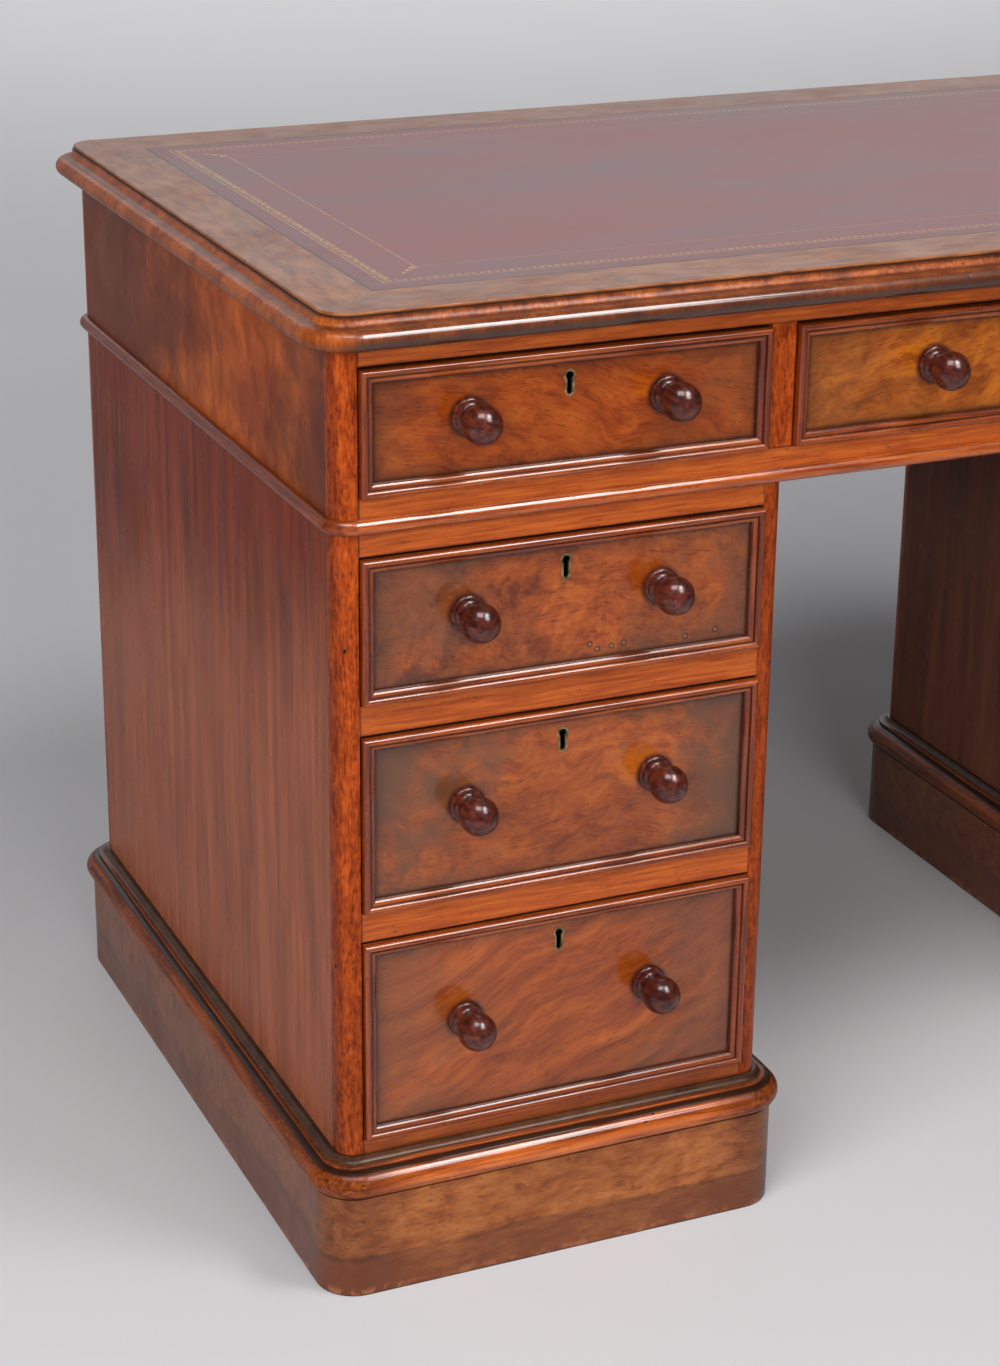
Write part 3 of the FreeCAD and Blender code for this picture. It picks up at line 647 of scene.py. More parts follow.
def wood(
    name, dark, middle, pale, streaks, warp=0.012, burr=0.0, mottle=9.0, cloudy=0.35, veins=0.0,
    pores=0.4, knocks=0.6, roughness=0.3, coat=0.0, coat_roughness=0.08, specular=0.35,
    grain=Finish.grain_place, dulled=None
):
    """Starts a wood finish. Grain and dulled are functions that add nodes, and burr may be one."""
    finish = Finish(name, coat, coat_roughness, specular)
    at = grain(finish)
    figure = finish.group(WOOD_FIGURE, {
        "Vector": at,
        "Streaks": streaks,
        "Warp": warp,
        "Burr": burr(finish) if callable(burr) else burr,
        "Mottle": mottle,
    })
    finish.colour = finish.ramp(
        figure["Figure"], (0.32, srgb(*dark)), (0.5, srgb(*middle)), (0.68, srgb(*pale))
    )
    low_shade = (1 - 0.8 * cloudy, 1 - cloudy, 1 - cloudy, 1)
    high_shade = (1 + 0.25 * cloudy, 1 + 0.3 * cloudy, 1 + 0.35 * cloudy, 1)
    shade = finish.ramp(figure["Clouds"], (0.36, low_shade), (0.6, high_shade))
    finish.colour = finish.mix(1.0, finish.colour, shade, "MULTIPLY")
    deep = srgb(*(part * 0.5 for part in dark))
    finish.stain(figure["Veins"] * veins, deep)
    finish.stain(figure["Pores"] * pores, deep)
    knocked = finish.group(KNOCKS, {"Vector": at, "Amount": knocks})["Mask"]
    finish.stain(knocked, GRIME_AND_SHADE)
    worn = finish.group(POLISH_WEAR, {"Vector": at, "Roughness": roughness})
    rough = worn["Roughness"]
    if dulled is not None:
        dull = dulled(finish)
        rough = rough + dull * DULL_ROUGHNESS
        finish.show("Coat Weight", finish.spread(dull, 0.0, 1.0, coat, coat * DULL_COAT_SHARE))
    finish.show("Roughness", rough)
    height = worn["Height"] - knocked * KNOCK_SHARE - figure["Pores"] * PORE_SHARE
    finish.bump(height, RIPPLE_DEPTH)
    return finish


def at_ends(finish):
    """1 along the two ends of the desk, 0 along its front and back."""
    x = finish.parts(finish.object_place())[0]
    corner = HALF_LENGTH - POST_RADIUS
    return finish.ease(abs(x), corner, corner + POST_RADIUS)


KNOB_WOOD = wood(
    "turned_knob_wood", (34, 12, 9), (66, 24, 17), (92, 38, 23), 240, knocks=0.4, roughness=0.36,
    coat=0.7, coat_roughness=0.16, specular=0.12
).done()
LINING_WOOD = wood(
    "drawer_lining_wood", (128, 88, 54), (166, 124, 80), (186, 146, 100), 150, knocks=0.2,
    roughness=0.6, cloudy=0.2
).done()
INNER_WOOD = wood(
    "carcass_board_wood", (112, 76, 46), (150, 108, 66), (172, 130, 86), 120, knocks=0.2,
    roughness=0.65, grain=Finish.object_place
).done()


def make_frieze_end_wood():
    """Clouded veneer of the frieze ends, golden over the middle and smoky towards the posts."""
    finish = wood(
        "frieze_end_veneer", (100, 44, 18), (116, 53, 20), (126, 61, 24), 60, warp=0.06, burr=1.0,
        mottle=17.0, cloudy=0.5, veins=0.15, knocks=0.15, specular=0.04
    )
    _, y, _ = finish.parts(finish.attribute("place"))
    drift = finish.noise(finish.grain_place(), 11.0, 5.0, 0.6) - 0.5
    away = abs(y - FRIEZE_PATCH_Y) + drift * 0.55
    finish.tint(finish.fade(away, 0.03, 0.19), 1.75, 1.7, 0.9)
    finish.stain(finish.ease(away, 0.12, 0.27) * 0.6, srgb(74, 40, 32))
    return finish.done()


def make_post_wood():
    """Flecked corner posts, browner round their outer corners as darker wood and painted shade, and
    darker towards the floor.
    """
    finish = wood(
        "post_mahogany", (100, 34, 8), (140, 55, 13), (160, 72, 20), 400, burr=0.5, mottle=110.0,
        cloudy=0.34, pores=0.5, knocks=1.7, roughness=0.34, specular=0.14
    )
    x, _, z = finish.parts(finish.object_place())
    outer = finish.ease(abs(x), HALF_LENGTH - 0.006, HALF_LENGTH - 0.002)
    # Outer corners, facing the ends of the desk: darker wood and painted shade
    finish.tint(outer, 0.7, 0.68, 0.85)
    finish.tint(finish.fade(z, 0.1, 0.4), 0.76, 0.8, 0.95)
    return finish.done()


def make_bead_wood():
    """Bead under the frieze, darkened along the ends of the desk as darker wood and painted shade."""
    finish = wood(
        "beaded_mahogany", (110, 43, 10), (150, 67, 17), (172, 86, 27), 260, mottle=14.0, cloudy=0.3,
        roughness=0.25, coat=0.8, dulled=at_ends
    )
    # The ends: darker wood and painted shade
    finish.tint(at_ends(finish), 0.5, 0.42, 0.42)
    return finish.done()


def make_rail_wood():
    """Straight-grained rails with dirt in their joints, and dirt and painted shade low down above the
    plinth.
    """
    finish = wood(
        "rail_mahogany", (130, 53, 14), (154, 70, 19), (172, 86, 27), 420, warp=0.008, mottle=12.0,
        cloudy=0.2, knocks=0.45, specular=0.34
    )
    x, _, z = finish.parts(finish.attribute("place"))
    half_x, _, half_z = finish.parts(finish.attribute("reach"))
    grime = finish.edge_dirt_and_shade(finish.point(x, z), finish.point(half_x, half_z), 0.0018, 0.0024)
    finish.stain(grime["Mask"] * 0.8, GRIME_AND_SHADE)
    at = finish.object_place()
    level = finish.parts(at)[2] + finish.noise(at, 30.0) * 0.02
    # Dirt and painted shade on the lowest rail, just above the plinth
    foot = finish.fade(level, PLINTH_TOP + 0.03, PLINTH_TOP + 0.062)
    finish.stain(foot * 0.7, srgb(58, 28, 17))
    return finish.done()


def make_side_wood():
    """Straight-grained pedestal sides, deep in colour near the top as painted shade under the overhang,
    with a painted reflection as a pale haze lower down and painted shade on the sides towards the
    kneehole.
    """
    finish = wood(
        "straight_grained_side", (88, 34, 13), (124, 49, 19), (146, 66, 28), 95, mottle=16.0,
        cloudy=0.22, pores=0.3, knocks=0.12, roughness=0.26, specular=0.04
    )
    x, y, z = finish.parts(finish.object_place())
    drift = finish.noise(finish.grain_place(), 8.0, 3.0, 0.5) * 0.12
    # Painted reflection: a pale haze lower down, leaving the top deeper as painted shade
    painted_haze = finish.fade(z + y * 0.25 + drift, 0.42, 0.62)
    finish.tint(1.0, 0.62, 0.5, 0.4)
    finish.tint(painted_haze, 1.6, 2.7, 5.4)
    finish.stain(painted_haze * 0.28, srgb(150, 100, 80))
    # Painted shade on the sides towards the kneehole; the outer sides keep their colour
    outward = finish.ease(abs(x), PEDESTAL_X - 0.1, PEDESTAL_X + 0.1)
    outer = finish.colour
    finish.tint(1.0, 0.66, 0.8, 0.9)
    finish.stain(outward, outer)
    return finish.done()


def dull_on_edge(finish):
    """1 in the hollow of the top's edge and along its ends, 0 on its front and back rolls."""
    height = finish.parts(finish.object_place())[2] - TOP_UNDERSIDE
    return finish.larger(at_ends(finish), finish.ease(height, TOP_ROLL, TOP_ROLL * 1.12))


def make_top_edge_wood():
    """Cross-grained edge of the top, with dark old polish on its roll, painted shade on the roll's
    underside and dirt under the arris.
    """
    finish = wood(
        "top_edge_mahogany", (112, 50, 15), (138, 66, 20), (154, 80, 28), 300, burr=0.05, mottle=40.0,
        cloudy=0.5, knocks=1.4, coat=0.8, specular=0.2, dulled=dull_on_edge
    )
    at = finish.object_place()
    facing = 1.0 - at_ends(finish)
    height = finish.parts(at)[2] - TOP_UNDERSIDE
    level = height + (finish.noise(at, 30.0) - 0.5) * 0.006
    rolled = finish.fade(height, TOP_ROLL * 0.86, TOP_ROLL * 1.02)
    patchy = finish.spread(finish.noise(at, 9.0), 0.35, 0.65, 0.4, 0.9)
    finish.stain(rolled * patchy * facing, srgb(62, 35, 26))
    # Painted shade on the underside of the roll, stronger along the front and back
    shaded_underside = finish.fade(level, TOP_ROLL * 0.3, TOP_ROLL * 0.7)
    shade = finish.spread(facing, 0.0, 1.0, 0.35, 0.8)
    finish.stain(shaded_underside * shade, srgb(40, 22, 15))
    finish.stain(finish.band(height, TOP_ROLL * 1.04, 0.0003, 0.0012) * 0.5, GRIME_AND_SHADE)
    flecks = finish.ease(finish.noise(finish.scaled(at, (70, 120, 160)), 1.0, 5.0, 0.66), 0.52, 0.66)
    finish.stain(flecks * (1.0 - rolled) * facing * 0.75, srgb(64, 28, 14))
    hollow_top = TOP_FACE - TOP_UNDERSIDE - ARRIS_DEPTH
    dirt = finish.ease(level, hollow_top - 0.0024, hollow_top - 0.0004)
    finish.stain(dirt * 0.7, GRIME_AND_SHADE)
    return finish.done()


def beside_front(finish):
    """1 on the ends and corners of a pedestal's plinth, 0 along its front and back."""
    x = finish.parts(finish.object_place())[0]
    corner = HALF_PEDESTAL - POST_RADIUS
    return finish.ease(abs(abs(x) - PEDESTAL_X), corner - 0.05, corner + 0.006)


def make_plinth_wood():
    """Plinth veneer with a tide mark, a scuffed foot, ends darkened as darker wood and painted shade,
    and dirt and a painted contact shadow at the floor.
    """
    finish = wood(
        "plinth_veneer", (112, 57, 23), (138, 77, 34), (154, 93, 47), 110, warp=0.04, burr=0.6,
        mottle=18.0, cloudy=0.25, veins=0.2, knocks=0.8, roughness=0.34, grain=Finish.object_place
    )
    # Ends and corners: darker wood and painted shade
    finish.tint(beside_front(finish), 0.55, 0.52, 0.62)
    at = finish.object_place()
    height = finish.parts(at)[2]
    rag = finish.noise(finish.scaled(at, (9, 9, 40)), 1.0, 5.0, 0.6) - 0.5
    stained = height + rag * 0.06
    tide = finish.fade(stained, TIDE_HEIGHT - 0.010, TIDE_HEIGHT + 0.008)
    patchy = finish.spread(finish.noise(at, 13.0), 0.35, 0.65, 0.5, 0.9)
    finish.stain(tide * patchy, srgb(86, 43, 26))
    finish.stain(finish.band(stained, TIDE_HEIGHT, 0.001, 0.006) * patchy * 0.5, GRIME_AND_SHADE)
    chipped = finish.ease(finish.noise(at, 85.0, 4.0, 0.65), 0.5, 0.6)
    foot = finish.fade(height, 0.002, 0.009)
    finish.stain(foot * chipped * 0.6, srgb(150, 92, 60))
    # Dirt and a painted contact shadow along the floor
    finish.stain(finish.fade(height, 0.0006, 0.002), GRIME_AND_SHADE)
    return finish.done()


def dull_on_plinth(finish):
    """1 above the roll of a plinth moulding and along its ends, 0 on its front and back rolls."""
    height = finish.parts(finish.object_place())[2] - (PLINTH_TOP + PLINTH_ROLL)
    return finish.larger(beside_front(finish), finish.ease(height, -0.001, 0.0))


def make_plinth_moulding_wood():
    """Plinth moulding with dust and painted shade in its hollow, rubbed ends darkened as darker wood and
    painted shade, and dirt and painted shade in its quirk and under its roll.
    """
    finish = wood(
        "plinth_moulding_wood", (92, 38, 10), (156, 72, 20), (188, 98, 34), 210, mottle=30.0,
        cloudy=0.5, knocks=1.0, roughness=0.25, coat=0.8, specular=0.15, dulled=dull_on_plinth
    )
    aside = beside_front(finish)
    # Ends and corners: darker wood and painted shade
    finish.tint(aside, 0.4, 0.38, 0.44)
    at = finish.object_place()
    rubbed = finish.ease(finish.noise(at, 240.0), 0.56, 0.68)
    finish.stain(rubbed * aside * 0.5, srgb(158, 84, 40))
    height = finish.parts(at)[2] - PLINTH_TOP
    fillet_top = PLINTH_ROLL + PLINTH_FILLET
    hollow = finish.ease(height, fillet_top - 0.0002, fillet_top + 0.0004)
    # Dust and painted shade in the hollow
    dust_and_shade = finish.ramp(finish.noise(at, 60.0), (0.35, srgb(32, 21, 14)), (0.7, srgb(62, 45, 30)))
    finish.stain(hollow * 0.88, dust_and_shade)
    # Dirt and painted shade in the quirk over the roll, and under the roll
    finish.stain(finish.band(height, PLINTH_ROLL, 0.0006, 0.002) * 0.95, GRIME_AND_SHADE)
    finish.stain(finish.fade(height, 0.0006, 0.0035) * 0.8, GRIME_AND_SHADE)
    return finish.done()


# Nail dents in one front, as places from its middle
DENTS = (
    (0.020, -0.0335), (0.026, -0.038), (0.0375, -0.037),
    (0.0475, -0.036), (0.0975, -0.038), (0.122, -0.036)
)
DENT_RADIUS = 0.0019


def make_front_wood(name, dents=(), specular=0.6):
    """Figured walnut of the fronts. The tone layer holds burr, smoke and redness, below 0 for gold."""
    finish = wood(
        name, (114, 47, 13), (138, 64, 17), (150, 76, 23), 90, warp=0.06, mottle=17.0,
        cloudy=0.36, veins=0.28, pores=0.5, knocks=0.25, roughness=0.14, specular=specular,
        burr=lambda made: made.parts(made.attribute("tone"))[0]
    )
    burr, smoke, red = finish.parts(finish.attribute("tone"))
    finish.tint(red, 0.78, 0.6, 0.5)
    finish.tint(finish.calculate("MULTIPLY", red, -1.0, clamp=True), 1.25, 1.6, 1.3)
    place = finish.attribute("place")
    reach = finish.attribute("reach")
    x, z, _ = finish.parts(place)
    eyes = finish.ease(finish.noise(finish.grain_place(), 36.0, 6.0, 0.62), 0.5, 0.66)
    curly = finish.ease(burr, 0.7, 0.95) * finish.spread(x, -0.05, 0.09, 1.0, 0.15)
    finish.tint(eyes * curly, 0.42, 0.3, 0.26)
    half_x, _, knob_x = finish.parts(reach)
    outward = abs(x) / half_x
    drift = finish.noise(finish.grain_place(), 14.0, 5.0, 0.65)
    smoky = finish.ease(outward * 0.4 + drift, 0.62, 0.9)
    finish.stain(smoky * smoke, srgb(82, 54, 38))
    # Dirt and painted shade along the edges of the field, next to the moulding
    for width, ragged, strength in ((0.016, 0.01, 0.28), (0.0035, 0.003, 0.6)):
        finish.stain(finish.edge_dirt_and_shade(place, reach, width, ragged)["Mask"] * strength, GRIME_AND_SHADE)
    # Dirt and a painted contact shadow in a ring round each knob's base
    away = finish.length(finish.point(abs(x) - knob_x, z - KNOB_RISE))
    finish.stain(finish.fade(away, KNOB_BASE_RADIUS, KNOB_BASE_RADIUS + 0.0035) * 0.6, GRIME_AND_SHADE)
    for dent_x, dent_z in dents:
        away = finish.length(finish.vector("SUBTRACT", finish.point(x, z), (dent_x, dent_z, 0)))
        finish.stain(finish.fade(away, DENT_RADIUS, 1.6 * DENT_RADIUS) * 0.7, GRIME_AND_SHADE)
        finish.stain(finish.fade(away, 0.2 * DENT_RADIUS, DENT_RADIUS) * 0.4, srgb(160, 112, 90))
    return finish.done()


def make_drawer_moulding_wood():
    """Drawer moulding with dirt and painted shade in its quirk and along its inner foot, and painted
    shade on its upright sides.
    """
    finish = wood(
        "drawer_moulding_wood", (92, 36, 10), (132, 57, 16), (156, 78, 26), 260, knocks=0.5,
        roughness=0.26, coat=0.8, coat_roughness=0.09, specular=0.2
    )
    place = finish.attribute("place")
    reach = finish.attribute("reach")
    edge = finish.edge_dirt_and_shade(place, reach, 0.01, 0.0)["Distance"]
    quirk = finish.band(edge, MOULD_BEAD + MOULD_QUIRK / 2, 0.0003, 0.001)
    foot = finish.ease(edge, MOULD_WIDTH - 0.0018, MOULD_WIDTH - 0.0002)
    # Dirt and painted shade in the quirk and along the inner foot
    finish.stain(finish.larger(quirk, foot) * 0.7, GRIME_AND_SHADE)
    gap = finish.parts(finish.vector("SUBTRACT", reach, finish.vector("ABSOLUTE", place)))
    # Painted shade on the upright sides
    finish.tint(finish.less(gap[0], gap[1]), 0.62, 0.5, 0.5)
    return finish.done()


LEATHER_LOW, LEATHER_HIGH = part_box("leather_writing_surface")
GILT_BORDER = 0.0165
GILT_LINE = 0.0006
SCROLL_MIDDLE = 0.0215
SCROLL_SWING = 0.0019
SCROLL_REPEAT = 0.0116
INNER_LINE = 0.0545
SPRIG_LENGTH = 0.024
SPRIG_SWELL = 0.0036


def make_leather():
    """Burgundy leather with a gilt roll border, an inner gilt line and sprigs at its corners."""
    finish = Finish("tooled_leather", specular=0.5)
    at = finish.object_place()
    across, deep, _ = finish.parts(finish.vector("ABSOLUTE", at))
    from_end = LEATHER_HIGH.x - across
    from_side = LEATHER_HIGH.y - deep
    edge = finish.calculate("MINIMUM", from_end, from_side)
    at_end = finish.less(from_end, from_side)
    x, y, _ = finish.parts(at)
    run = finish.number(0, "Mix", {0: at_end, 2: x, 3: y})

    def line(distance, middle):
        return finish.band(distance, middle, GILT_LINE / 2, GILT_LINE)

    swing = finish.calculate("SINE", run * (2 * math.pi / SCROLL_REPEAT))
    scroll = line(edge - (swing * SCROLL_SWING + SCROLL_MIDDLE), 0.0)
    leaf_run = finish.calculate("PINGPONG", run, SCROLL_REPEAT / 4)
    leaf = finish.point(leaf_run, abs(edge - SCROLL_MIDDLE) * 0.6)
    leaves = finish.fade(finish.length(leaf), 0.0012, 0.002)
    border = finish.larger(finish.larger(scroll, leaves), line(edge, GILT_BORDER))

    inner_x = across - (LEATHER_HIGH.x - INNER_LINE)
    inner_y = deep - (LEATHER_HIGH.y - INNER_LINE)
    outward = (inner_x + inner_y) * math.sqrt(0.5)
    aside = abs((inner_x - inner_y) * math.sqrt(0.5))
    reach = outward / SPRIG_LENGTH
    swell = abs(finish.calculate("SINE", reach * (3 * math.pi))) * SPRIG_SWELL
    shown = finish.calculate("GREATER_THAN", reach, 0.0) * finish.less(reach, 1.0)
    sprig = finish.less(aside, swell * (1.25 - reach)) * shown

    gilt = finish.larger(border, finish.larger(line(edge, INNER_LINE), sprig))
    rubbed = finish.ease(finish.noise(at, 150.0, 4.0, 0.7), 0.36, 0.56)
    gilt = gilt * finish.spread(rubbed, 0.0, 1.0, 0.25, 1.0) * finish.spread(at_end, 0.0, 1.0, 0.6, 1.0)

    patches = finish.noise(finish.scaled(at, (3.5, 11.0, 1.0)), 1.0, 5.0, 0.62)
    finish.colour = finish.ramp(
        patches, (0.34, srgb(88, 33, 37)), (0.5, srgb(113, 48, 49)), (0.66, srgb(126, 61, 59))
    )
    finish.stain(finish.fade(edge, GILT_BORDER - 0.003, GILT_BORDER) * 0.55, srgb(98, 34, 36))
    finish.stain(finish.fade(edge, 0.0012, 0.0034), srgb(56, 16, 18))
    finish.stain(gilt, srgb(190, 152, 84))
    finish.show("Metallic", gilt * 0.7)
    finish.show("Roughness", finish.spread(patches, 0.3, 0.7, 0.32, 0.42))
    inputs = {"Vector": at, "Scale": PEBBLE_SCALE}
    pebbles = finish.number("Distance", "TexVoronoi", inputs, feature="SMOOTH_F1")
    finish.bump(pebbles * 0.4 - gilt * 0.8, PEBBLE_DEPTH, 0.6)
    return finish.done()


def make_top_wood():
    """Border veneer of the top, mitred at its corners, with dirt below its face."""

    def banded(finish):
        at = finish.object_place()
        across, deep, _ = finish.parts(finish.vector("ABSOLUTE", at))
        ends = finish.less(LEATHER_HIGH.x - across, LEATHER_HIGH.y - deep)
        x, y, z = finish.parts(at)
        inputs = {0: ends, 4: at, 5: finish.point(y, x, z)}
        return finish.add("Mix", inputs, data_type="VECTOR").outputs[1]

    finish = wood(
        "top_border_veneer", (104, 54, 24), (132, 76, 38), (150, 92, 50), 120, warp=0.03, burr=0.4,
        mottle=24.0, cloudy=0.25, knocks=0.5, roughness=0.34, specular=0.34, grain=banded
    )
    height = finish.parts(finish.object_place())[2]
    finish.stain(finish.fade(height, TOP_FACE - 0.0026, TOP_FACE - 0.0014), GRIME_AND_SHADE)
    return finish.done()


def make_brass():
    """Aged brass, dark inside the keyhole."""
    finish = Finish("aged_brass", specular=0.5)
    at = finish.object_place()
    tarnish = finish.noise(at, 260.0, 4.0, 0.65)
    finish.colour = finish.ramp(
        tarnish, (0.35, srgb(70, 54, 32)), (0.55, srgb(124, 101, 64)), (0.72, srgb(160, 136, 96))
    )
    x, z, inside = finish.parts(finish.attribute("place"))
    half_height = finish.parts(finish.attribute("reach"))[1]
    shadow = finish.ease(inside, FIELD_RECESS + 0.0004, FIELD_RECESS + 0.0016)
    for value, start in (
        (abs(x), KEYHOLE_ROUND),
        (inside, FRONT_BACK - LOCK_DEPTH + 0.002),
        (z - half_height, -2 * SELVEDGE_THICKNESS),
    ):
        shadow = shadow * finish.fade(value, start, start + 0.0008)
    finish.stain(shadow, srgb(14, 10, 8))
    finish.show("Metallic", 0.4 - shadow * 0.4)
    finish.show("Roughness", finish.spread(tarnish, 0.3, 0.7, 0.5, 0.3))
    finish.bump(tarnish, TARNISH_DEPTH, 0.5)
    return finish.done()


FRIEZE_END_WOOD = make_frieze_end_wood()
POST_WOOD = make_post_wood()
BEAD_WOOD = make_bead_wood()
RAIL_WOOD = make_rail_wood()
SIDE_WOOD = make_side_wood()
TOP_EDGE_WOOD = make_top_edge_wood()
PLINTH_WOOD = make_plinth_wood()
PLINTH_MOULDING_WOOD = make_plinth_moulding_wood()
FRONT_WOOD = make_front_wood("figured_walnut_front")
DENTED_FRONT_WOOD = make_front_wood("dented_walnut_front", DENTS)
FRIEZE_FRONT_WOOD = make_front_wood("frieze_walnut_front", specular=0.3)
DRAWER_MOULDING_WOOD = make_drawer_moulding_wood()
LEATHER = make_leather()
TOP_WOOD = make_top_wood()
BRASS = make_brass()


# Carcass

CORNER_X = HALF_LENGTH - POST_RADIUS
CORNER_Y = HALF_DEPTH - POST_RADIUS
PEDESTAL_CORNER_X = HALF_PEDESTAL - POST_RADIUS
PANEL_Y = HALF_DEPTH - POST_WIDTH
PEDESTALS = {"left": -PEDESTAL_X, "right": PEDESTAL_X}


def turned_at(place, turn):
    """A placement turned by quarter turns about the upright axis."""
    return Matrix.Translation(place) @ Matrix.Rotation(QUARTER * turn, 4, "Z")


def varied(name, shells):
    """Joins copies of a piece, each of them taken from another part of the plank."""
    for shell in shells:
        vary_grain(shell)
    return joined(name, shells)


def at_corner(x, half_x, half_y, z):
    """Placements at the four corners of a rectangle, anticlockwise from the back right-hand one."""
    signs = ((1, 1), (-1, 1), (-1, -1), (1, -1))
    return [
        turned_at((x + sign_x * half_x, sign_y * half_y, z), turn)
        for turn, (sign_x, sign_y) in enumerate(signs)
    ]


def ring(name, draw, x, half_x, half_y, z, along="y"):
    """Four lengths and four corner blocks of a moulding, all of the section that draw() makes."""
    short_piece = lay_grain(draw().prism(2 * half_y), along)
    long_piece = lay_grain(draw().prism(2 * half_x), along)
    block = lay_grain(draw().turned(90, CORNER_STEPS, closed=True), "z" if along == "z" else "x")
    shells = []
    for sign, turn in ((1, 0), (-1, 2)):
        shells.append(copied(short_piece, name, turned_at((x + sign * half_x, 0, z), turn)))
        shells.append(copied(long_piece, name, turned_at((x, sign * half_y, z), turn + 1)))
    shells += [copied(block, name, matrix) for matrix in at_corner(x, half_x, half_y, z)]
    discard(short_piece, long_piece, block)
    return varied(name, shells)


def top_edge_section():
    roll = TOP_ROLL / 2
    middle = POST_RADIUS + TOP_ROLL_OVERHANG - roll
    hollow_top = TOP_FACE - TOP_UNDERSIDE - ARRIS_DEPTH
    inner = POST_RADIUS + ARRIS_OVERHANG
    pen = Pen("top_edge", inner, 0).line(middle, 0).arc(middle, roll, 180, 2 * ARC_STEPS)
    return pen.arc(middle, hollow_top, -90).line(inner, hollow_top)


def bead_section():
    half = BEAD_HEIGHT / 2
    radius = (half * half / BEAD_PROJECTION + BEAD_PROJECTION) / 2
    middle = POST_RADIUS + BEAD_PROJECTION - radius
    sweep = 2 * math.degrees(math.atan2(half, POST_RADIUS - middle))
    return Pen("bead", POST_RADIUS, 0).arc(middle, half, sweep, 2 * ARC_STEPS)


def plinth_board_section():
    outer = POST_RADIUS + PLINTH_OVERHANG
    inner = outer - PLINTH_THICKNESS
    soft = 2 * SOFT_EDGE
    pen = Pen("plinth_board", inner, 0).line(outer - soft, 0).arc(outer - soft, soft, 90, SOFT_STEPS)
    return pen.line(outer, PLINTH_TOP).line(inner, PLINTH_TOP)


def plinth_moulding_section():
    roll = PLINTH_ROLL / 2
    middle = POST_RADIUS + PLINTH_ROLL_OVERHANG - roll
    fillet_top = PLINTH_ROLL + PLINTH_FILLET
    soft_z = fillet_top - SOFT_EDGE
    hollow_foot = POST_RADIUS + PLINTH_NECK + PLINTH_HOLLOW
    height = fillet_top + PLINTH_HOLLOW
    pen = Pen("plinth_moulding", POST_RADIUS, 0).line(middle, 0).arc(middle, roll, 180, 2 * ARC_STEPS)
    pen.line(middle, soft_z).arc(middle - SOFT_EDGE, soft_z, 90, SOFT_STEPS)
    pen.line(hollow_foot, fillet_top).arc(hollow_foot, height, -90)
    return pen.line(POST_RADIUS, height)


def posts(name, x, half_x, bottom, top):
    """Four corner posts with rounded outer corners."""
    inner = POST_RADIUS - POST_WIDTH
    pen = Pen("post", inner, inner).line(POST_RADIUS - FINE_EDGE, inner)
    pen.line(POST_RADIUS, inner + FINE_EDGE).line(POST_RADIUS, 0).arc(0, 0, 90, CORNER_STEPS)
    pen.line(inner + FINE_EDGE, POST_RADIUS).line(inner, POST_RADIUS - FINE_EDGE)
    post = pen.prism(top - bottom)
    moved(post, Matrix.Rotation(-QUARTER, 4, "X"))
    lay_grain(post, "z")
    places = at_corner(x, half_x, CORNER_Y, (top + bottom) / 2)
    shells = [copied(post, name, place) for place in places]
    discard(post)
    return varied(name, shells)


def make_top():
    half_x = HALF_LENGTH + ARRIS_OVERHANG
    half_y = HALF_DEPTH + ARRIS_OVERHANG
    begin()
    bpy.ops.mesh.primitive_plane_add(size=2, location=(0, 0, TOP_UNDERSIDE))
    top = bpy.context.object
    top.scale = (half_x, half_y, 1)
    bpy.ops.object.transform_apply()
    edit(top)
    radius = POST_RADIUS + ARRIS_OVERHANG
    bpy.ops.mesh.bevel(offset=radius, segments=CORNER_STEPS, affect="VERTICES")
    thickness = TOP_FACE - TOP_UNDERSIDE
    bpy.ops.mesh.extrude_region_move(TRANSFORM_OT_translate={"value": (0, 0, thickness)})
    bpy.ops.mesh.region_to_loop()
    bpy.ops.mesh.bevel(offset=ARRIS_SOFT, segments=ARRIS_STEPS, affect="EDGES")
    begin()
    recess = cube("recess", LEATHER_LOW, (LEATHER_HIGH.x, LEATHER_HIGH.y, TOP_FACE + CUT_OVERRUN))
    cut_away(top, recess)
    top.name = "veneered_top"
    finished(top, TOP_WOOD, "top_board", slot="top_veneer")

    leather = cube("tooled_writing_leather", LEATHER_LOW, LEATHER_HIGH)
    soften(leather, LEATHER_SOFT, SOFT_STEPS)
    finished(leather, LEATHER, "leather_writing_surface", slot="leather")

    edge = ring("moulded_top_edge", top_edge_section, 0, CORNER_X, CORNER_Y, TOP_UNDERSIDE, "z")
    finished(edge, TOP_EDGE_WOOD, "top_edge_moulding")


